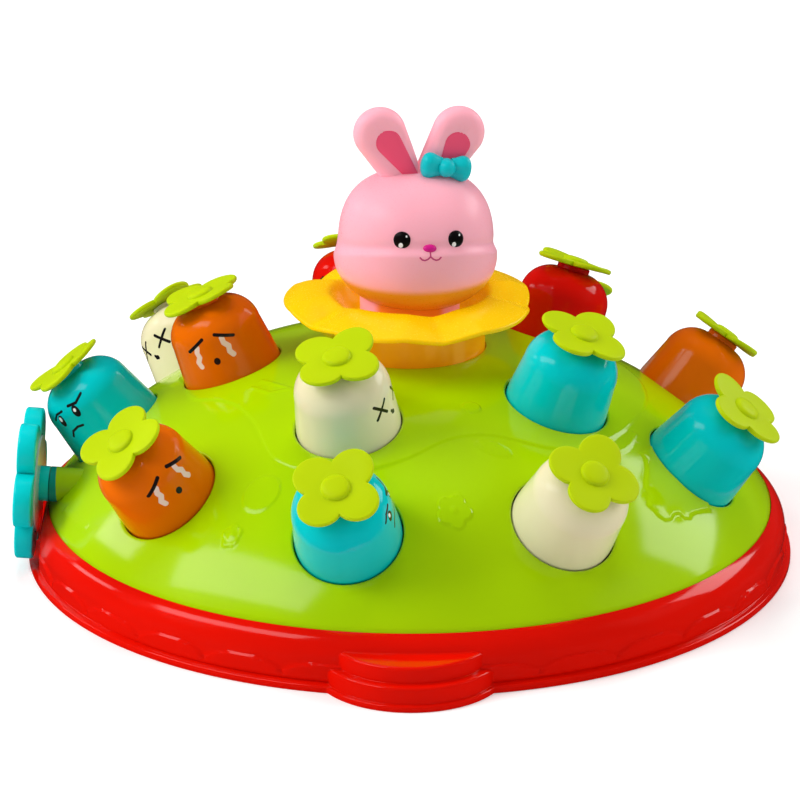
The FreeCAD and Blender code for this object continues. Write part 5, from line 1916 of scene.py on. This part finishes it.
    def ear_gap(self, spots: np.ndarray) -> np.ndarray:
        """Distance of points from an ear's skin, with a soft hollow for the pad.

        Args:
            spots: The points, in the ear's frame.

        Returns:
            The distances, below zero inside.
        """
        bend = self.ear_bend
        flat = drop_gap(spots, *self.ear_drop) + bend
        deep = np.abs(spots[:, 1]) - self.ear_half + bend
        corner = np.hypot(np.maximum(flat, 0), np.maximum(deep, 0))
        skin = corner + np.minimum(np.maximum(flat, deep), 0) - bend
        hollow = self.ear_hollow * smooth(0.5 - self.pad_gap(spots, 1.2) / 3.2) * (spots[:, 1] < 0)
        return skin + hollow

    def pad_outline(self, angle: float) -> float:
        """How far the pad's outline is from its middle.

        Args:
            angle: Direction in the ear's front plane, in radians.

        Returns:
            The distance.
        """
        reach, (x, z) = np.linspace(0.5, 18, 700), self.pad_middle
        across, up = x + reach * math.cos(angle), z + reach * math.sin(angle)
        spots = np.column_stack([across, np.zeros(len(reach)), up])
        return float(reach[int(np.argmax(self.pad_gap(spots) > 0))])

    def pad(self) -> Form:
        """A soft-edged pad in an ear's hollow, in the ear's frame.

        Returns:
            The form.
        """
        path = [
            (0, 0.4), (0.3, 0.39), (0.6, 0.34), (0.85, 0.26), (0.94, 0.16), (0.985, 0.0),
            (1.0, -0.25), (1.0, -1.0), (0, -1.0),
        ]
        x, z = self.pad_middle
        turn = Matrix.Rotation(math.radians(90), 4, "X")
        return plate(self.pad_outline, path, 0.0, 120).placed(Matrix.Translation((x, -4.35, z)) @ turn)

    def ears(self) -> None:
        """Builds both ears and their darker pads."""
        ears, pads = Form(), Form()
        for side in (-1, 1):
            spot = self.place() @ self.ear_frame(side)
            ears.joined(Form().ball((0, 0, 16), 40, self.ear_gap, 6).placed(spot))
            pads.joined(self.pad().placed(spot))
        # The ears' skin gets a stronger painted glow.
        skin = replace(self.pink, name="ear_pink_vinyl", painted_glow=0.12).material()
        ears.piece("ear_pair", skin, self.body, "pink_shell", ["rabbit_ears"], 60)
        pads.piece("ear_pads", self.rose.material(), self.body, "rose_pad", ["inner_ears"], 60)

    def bow_lobe(self, side: int) -> Form:
        """One flared loop of the bow, with folds that run to the knot.

        Args:
            side: -1 for the left, 1 for the right.

        Returns:
            The form.
        """

        def place(turn: float, along: float) -> Sequence[float]:
            """Point of the loop for two shares.

            Args:
                turn: Share of the way round.
                along: Share of the way from the knot to the open end.

            Returns:
                The point.
            """
            angle = turn * math.tau
            out = 1.8 + 8.7 * along
            end = max(0.0, 1 - along**6) ** 0.5
            tall = (3.9 + 1.6 * smooth(along * 1.6)) * end
            fold = 1 - 0.2 * math.exp(-((math.sin(angle) / 0.25) ** 2)) * (1 - along)
            thick = (2.7 + 1.4 * smooth(along * 1.5)) * end * fold
            return (side * out, thick * math.cos(angle), tall * math.sin(angle))

        return Form().draped(60, 34, place)

    def bow(self) -> None:
        """Builds the bow in front of the right ear."""
        form = Form().ball((0, 0, 0), 9, lambda s: oval_gap(s, (0, -0.8, 0), (3.9, 4.6, 3.9)), 4)
        form.joined(self.bow_lobe(-1), self.bow_lobe(1))
        tilt = Matrix.Translation(self.bow_centre) @ Matrix.Rotation(math.radians(self.bow_turn), 4, "Y")
        form.placed(self.place() @ tilt)
        form.piece("bow_knot", self.aqua.material(), self.body, "bow", ["rabbit_bow"], 55)

    def face(self) -> None:
        """Builds the eyes with their drawn glints, and the nose."""
        eyes = Form()
        z = self.eye_height
        glints: list[Mark] = []
        for side in (-1, 1):
            front = self.face_front(self.eye_spread, z)
            turn = Matrix.Rotation(math.radians(side * self.eye_turn), 4, "Z")
            spot = Matrix.Translation((side * self.eye_spread, front + 1.0, z))
            ball = Form().ball((0, 0, 0), 8, lambda s: oval_gap(s, (0, 0, 0), self.eye), 5)
            eyes.joined(ball.placed(self.place() @ spot @ turn))
            x = side * self.eye_spread
            glints += [Oval((x - 0.8, z - 1.5), (0.85, 1.1)), Oval((x + 1.4, z + 2.2), (0.35, 0.4))]
        eye_print = Print(self.face_frame(), (Ink(GLINT, tuple(glints)),), self.face_depth)
        painted = eye_print.draw(self.black.shader())
        eyes.piece("eye_pair", painted, self.body, "eye_black", ["rabbit_eyes"], 60)
        front = self.face_front(0, self.nose_height)
        nose = Form().ball((0, 0, 0), 8, lambda s: oval_gap(s, (0, 0, 0), self.nose), 4)
        nose.placed(self.place() @ Matrix.Translation((0, front + 0.8, self.nose_height)))
        gloss = self.magenta.material()
        nose.piece("nose_button", gloss, self.body, "nose_magenta", ["rabbit_nose"], 60)

    def build(self) -> None:
        """Builds the whole head."""
        self.head()
        self.ears()
        self.bow()
        self.face()


# ---------------------------------------------------------------- side flower


@dataclass
class SideFlower:
    """The flower on the left that turns on its pin."""

    centre: Triple = (-156.8, -21.0, 33.5)
    tilt: float = 4.0
    thickness: float = 7.4
    hub: float = 7.3
    hub_length: float = 4.4
    bore: float = 2.56
    head_room: Point = (5.6, 1.6)
    rim: float = 1.1
    core: float = 20.0
    lobes: Triple = (6, 20.5, 11.0)
    dish: Point = (20.05, 0.6)
    finish: Plastic = Plastic(
        "turquoise_side_plastic", srgb(0, 218, 222), roughness=0.18, drift=0.06, ripple=0.03,
        ripple_size=14, gloss=0.3,
    )

    def place(self) -> Matrix:
        """Frame of the flower: third axis inwards along its pin."""
        return Matrix.Translation(self.centre) @ Matrix.Rotation(math.radians(90 + self.tilt), 4, "Y")

    def build(self) -> None:
        """Builds the flower."""
        half, edge = self.thickness / 2, []
        for a in range(0, 181, 15):
            out, up = math.sin(math.radians(a)), -math.cos(math.radians(a))
            height = (half - self.rim) * np.sign(up) + self.rim * up
            edge.append((self.core + 1.0 - 0.1 * (1 - out), height))
        room, deep = self.head_room[0], -half + self.head_room[1]
        dish, floor, top = self.dish[0], half - self.dish[1], half + self.hub_length
        path = [(self.bore, deep), (room, deep), (room, -half), (12.0, -half), (self.core, -half)]
        path += [(self.core + 0.4, -half), *edge, (self.core + 0.4, half)]
        path += [(dish, half), (dish, floor), (self.hub, floor)]
        path += [(self.hub, top), (self.bore, top), (self.bore, deep)]
        form = plate(lobed(*self.lobes, 90.0), path, self.core, 240).placed(self.place())
        material = self.finish.material()
        form.piece("spinner_flower", material, "spinner", "turquoise_shell", ["side_flower"], 40)


# ---------------------------------------------------------------- springs


@dataclass
class Springs:
    """The coil springs under the buttons and the rabbit."""

    dome: Dome
    seats: list[Seat]
    radius: float = 7.3
    wire: float = 1.0
    turns: int = 6
    foot: float = -24.0
    shoulder: float = -5.06
    travel: float = 10.0
    rabbit_radius: float = 8.0
    rabbit_wire: float = 1.1
    rabbit_turns: int = 5
    rabbit_travel: float = 4.0
    rabbit_gap: float = 0.06
    finish: Metal = Metal("spring_wire_steel", srgb(150, 152, 156), roughness=0.22)

    def coil(self, radius: float, wire: float, turns: int, low: float, high: float) -> Form:
        """A round wire wound about the Z axis.

        Args:
            radius: Radius of the wire's middle line.
            wire: The wire's diameter.
            turns: Number of turns.
            low: Height of its lowest point.
            high: Height of its highest point.

        Returns:
            The form.
        """

        def place(section: float, share: float) -> Sequence[float]:
            """Point of the wire's skin for two shares.

            Args:
                section: Share of the way round the wire.
                share: Share of the way along the coil.

            Returns:
                The point.
            """
            around, along = section * math.tau, share * turns * math.tau
            thick = wire / 2 if 0 < share < 1 else 0.0
            reach = radius + thick * math.cos(around)
            height = low + wire / 2 + (high - low - wire) * share + thick * math.sin(around)
            return (reach * math.cos(along), reach * math.sin(along), height)

        return Form().draped(8, turns * 20, place)

    def build(self) -> None:
        """Builds one spring for each button and the rabbit's."""
        material = self.finish.material()
        length = self.shoulder - self.foot
        for seat in self.seats:
            place = self.dome.button_place(seat.radius, seat.angle, seat.lean)
            form = self.coil(self.radius, self.wire, self.turns, self.foot, self.shoulder).placed(place)
            item = form.piece(f"coil_{seat.name}", material, "base", "spring_steel", ["button_springs"], 60)
            keep = (length - self.travel) / length
            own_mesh(item)
        low, high = (corner[2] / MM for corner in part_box("rabbit_spring"))
        high -= self.rabbit_gap
        form = self.coil(self.rabbit_radius, self.rabbit_wire, self.rabbit_turns, low, high)
        item = form.piece("coil_rabbit", material, "base", "spring_steel", ["rabbit_spring"], 60)
        keep = (high - low - self.rabbit_travel) / (high - low)
        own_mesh(item)


# ---------------------------------------------------------------- kept parts


class Kept(Enum):
    """Finishes of the CAD parts whose own shape is shown."""

    GREY = Plastic("grey_inner_plastic", srgb(188, 190, 192), roughness=0.42, grain=0.12, skin=0.02)
    DARK = Plastic("dark_inner_plastic", srgb(44, 46, 50), roughness=0.5, grain=0.1, skin=0.02)
    RED = Plastic("red_under_plastic", srgb(218, 16, 4), roughness=0.3, grain=0.1, skin=0.02)
    SOCKET = Plastic(
        "socket_two_tone", srgb(172, 214, 0), roughness=0.15, gloss=0.4,
        tints=(Tint(srgb(0, 150, 146), 0, -145.7, -145.3),),
    )
    # Painted bounce light: orange from the dish laid on the neck's front, with a painted glow.
    PINK = Plastic(
        "pink_neck_vinyl", srgb(255, 172, 190), roughness=0.3, glow=0.2, glow_reach=4.0, painted_glow=0.05,
        tints=(Tint(srgb(240, 134, 0), 1, -17.0, -14.0, 0.95),),
    )
    RUBBER = Plastic("pad_rubber_grey", srgb(92, 92, 96), roughness=0.75, grain=0.1, skin=0.03)
    STEEL = Metal("zinc_steel", srgb(176, 178, 182))
    NICKEL = Metal("nickel_strip", srgb(196, 190, 176), roughness=0.2)
    # Painted highlight streak down the column's front, and a painted glow.
    AMBER = ClearPlastic(
        "amber_column_plastic", srgb(232, 164, 8), srgb(216, 128, 6), 80, 97, clear=0.12,
        roughness=0.16, seam_highlight_x=20.0, glow=0.4, painted_glow=0.22,
    )
    CELL = Banded("battery_sleeve", srgb(60, 64, 70), srgb(196, 150, 60), 0, 62.0, 0.3, 0.3)
    BOARD = Banded("circuit_board_green", srgb(10, 92, 52), srgb(14, 104, 60), 1, 6.0, 0.12, 0.35)
    CONE = Banded("speaker_cone_black", srgb(32, 32, 34), srgb(48, 48, 52), 2, 3.0, 0.5, 0.6)
    MIRROR = Plastic(
        "pearl_disc_film", srgb(206, 214, 218), roughness=0.16, drift=0.1, ripple_size=8, gloss=0.6,
    )


@dataclass
class KeptParts:
    """Gives the CAD parts that are shown as they are their finishes."""

    finishes: dict[str, Kept] = field(default_factory=lambda: {
        "bottom_cover": Kept.RED, "battery_door": Kept.RED,
        "power_switch": Kept.DARK, "power_switch_body": Kept.DARK,
        "button_frame": Kept.GREY, "column_floor": Kept.GREY, "button_pads": Kept.RUBBER,
        "bottom_screws": Kept.STEEL, "inner_screws": Kept.STEEL, "stem_clip": Kept.STEEL,
        "spinner_axle": Kept.STEEL, "battery_contacts": Kept.NICKEL, "batteries": Kept.CELL,
        "main_board": Kept.BOARD, "lamp_board": Kept.BOARD, "speaker": Kept.CONE,
        "light_column": Kept.AMBER, "rabbit_neck": Kept.PINK, "side_mirror": Kept.MIRROR,
        "spinner_socket": Kept.SOCKET,
    })

    def build(self, nodes: Mapping[str, bpy.types.Object]) -> None:
        """Dresses the parts.

        Args:
            nodes: The CAD nodes by name.
        """
        made = {kind: kind.value.material() for kind in set(self.finishes.values())}
        for name, kind in self.finishes.items():
            for holder in nodes[name].material_slots:
                holder.material = made[kind]
            LOG.info("%s: %s", name, kind.value.name)


# ---------------------------------------------------------------- studio


@dataclass
class Softbox:
    """A large soft lamp that looks at the toy."""

    name: str
    spot: Triple
    size: Point
    power: float
    mirrored: bool = True
    roll: float = 0.0
    aim: Triple = (0.0, 0.0, 0.07)

    def build(self) -> None:
        """Adds the lamp; one that isn't mirrored lights the toy but makes no highlight."""
        lamp = bpy.data.lights.new(self.name, "AREA")
        lamp.shape, lamp.size, lamp.size_y, lamp.energy = "RECTANGLE", *self.size, self.power
        item = bpy.data.objects.new(self.name, lamp)
        item.location = self.spot
        facing = (Vector(self.aim) - Vector(self.spot)).to_track_quat("-Z", "Y").to_matrix()
        item.rotation_euler = (facing @ Matrix.Rotation(math.radians(self.roll), 3, "Z")).to_euler()
        item.visible_glossy = self.mirrored
        bpy.context.scene.collection.objects.link(item)


@dataclass
class Studio:
    """Camera, soft lamps, pale floor and world."""

    target: Triple = (-0.004, 0.0, 0.06224)
    distance: float = 1.28
    elevation: float = 19.08
    lens: float = 138.31
    room_light: float = 0.34
    room_in_gloss: float = 0.04
    softboxes: tuple[Softbox, ...] = (
        Softbox("key_softbox", (-1.55, -0.25, 1.10), (1.0, 1.0), 21.0, False),
        Softbox("top_softbox", (0.0, 0.5, 1.9), (1.0, 1.0), 11.0, False),
        Softbox("right_softbox", (1.5, -0.3, 0.8), (0.8, 0.8), 6.5, False),
        Softbox(
            "left_strip", (-1.00, -0.42, 1.20), (1.1, 0.42), 4.2, roll=28.6, aim=(-0.06, -0.12, 0.035),
        ),
        Softbox(
            "left_back_strip", (-1.377, 0.576, 0.722), (0.5, 0.2), 0.9,
            roll=31.7, aim=(-0.113, -0.08, 0.034),
        ),
        Softbox("right_strip", (1.284, 0.582, 0.867), (0.85, 0.6), 5.2, aim=(0.1, -0.09, 0.035)),
    )

    def camera(self) -> None:
        """Sets the camera at the photograph's place."""
        angle = math.radians(self.elevation)
        data = bpy.data.cameras.new("photo_camera")
        data.lens, data.sensor_width, data.clip_end = self.lens, 36.0, 20.0
        item = bpy.data.objects.new("photo_camera", data)
        back = Vector((0, -math.cos(angle), math.sin(angle)))
        item.location = Vector(self.target) + back * self.distance
        item.rotation_euler = (math.pi / 2 - angle, 0, 0)
        bpy.context.scene.collection.objects.link(item)
        bpy.context.scene.camera = item

    def floor(self) -> None:
        """Lays a pale floor that keeps the toy's shadow and looks white from the camera; in reflections it
        is painted dark grey.
        """
        shader = Shader("pale_floor")
        path = shader.node("ShaderNodeLightPath")
        seen = path.outputs["Is Camera Ray"]
        drift = shader.grain(300, 1).ramp(0.2, 0.8)
        tone = shader.mixed(drift, srgb(243, 243, 243), srgb(247, 247, 247))
        # Painted dark reflection: glossy rays see the floor dark grey, so the plastics show little of it.
        tone = shader.mixed(path.outputs["Is Glossy Ray"], tone, srgb(30, 30, 30))
        shader.set(Base_Color=tone, Roughness=0.7, Specular_IOR_Level=0.1)
        far = shader.length(shader.place).ramp(0.7, 1.8)
        pale = shader.mixed(far, (0.22, 0.22, 0.22), (1.0, 1.0, 1.0))
        lift = shader.mixed(seen, (0.0, 0.0, 0.0), pale)
        shader.set(Emission_Color=lift, Emission_Strength=1.0)
        mesh = bmesh.new()
        bmesh.ops.create_grid(mesh, x_segments=2, y_segments=2, size=8.0)
        data = bpy.data.meshes.new("studio_floor")
        mesh.to_mesh(data)
        mesh.free()
        data.materials.append(shader.material)
        item = bpy.data.objects.new("studio_floor", data)
        bpy.context.scene.collection.objects.link(item)

    def world(self) -> None:
        """Fills the room with even light; the camera sees white and reflections see a dim room."""
        world = bpy.data.worlds.new("white_room")
        bpy.context.scene.world = world
        world.use_nodes = True
        tree = NodeTree(world.node_tree)
        ray = tree.node("ShaderNodeLightPath").outputs
        looks = {0: ray["Is Camera Ray"], 1: ray["Is Transmission Ray"]}
        seen = tree.node("ShaderNodeMath", {"operation": "MAXIMUM"}, looks)
        dim = {"Value": ray["Is Glossy Ray"], "To Min": self.room_light, "To Max": self.room_in_gloss}
        room = tree.node("ShaderNodeMapRange", None, dim)
        whole = {"Value": seen.outputs[0], "To Min": room.outputs[0], "To Max": 1.0}
        strength = tree.node("ShaderNodeMapRange", None, whole)
        white = {"Color": (1, 1, 1, 1), "Strength": strength.outputs[0]}
        light = tree.node("ShaderNodeBackground", None, white)
        tree.node("ShaderNodeOutputWorld", None, {"Surface": light.outputs[0]})

    def build(self) -> None:
        """Sets up the whole studio."""
        bpy.context.scene.view_settings.view_transform = "Standard"
        self.camera()
        self.floor()
        self.world()
        for softbox in self.softboxes:
            softbox.build()


def main() -> None:
    """Builds the toy's sub-assemblies in order."""
    logging.basicConfig(level=logging.INFO, format="%(relativeCreated)6.0f %(name)s %(message)s")
    Studio().build()
    dome, flower = Dome(), SideFlower()
    seats = [seat for ring in RINGS for seat in ring.seats()]
    places = ButtonSet(dome, seats).build()
    DomeCover(dome).build(places, flower.place())
    BaseRing().build()
    FlowerDish().build()
    Rabbit().build()
    flower.build()
    Springs(dome, seats).build()
    KeptParts().build(frame["nodes"])
    bpy.context.view_layer.update()


if __name__ == "__main__":
    main()
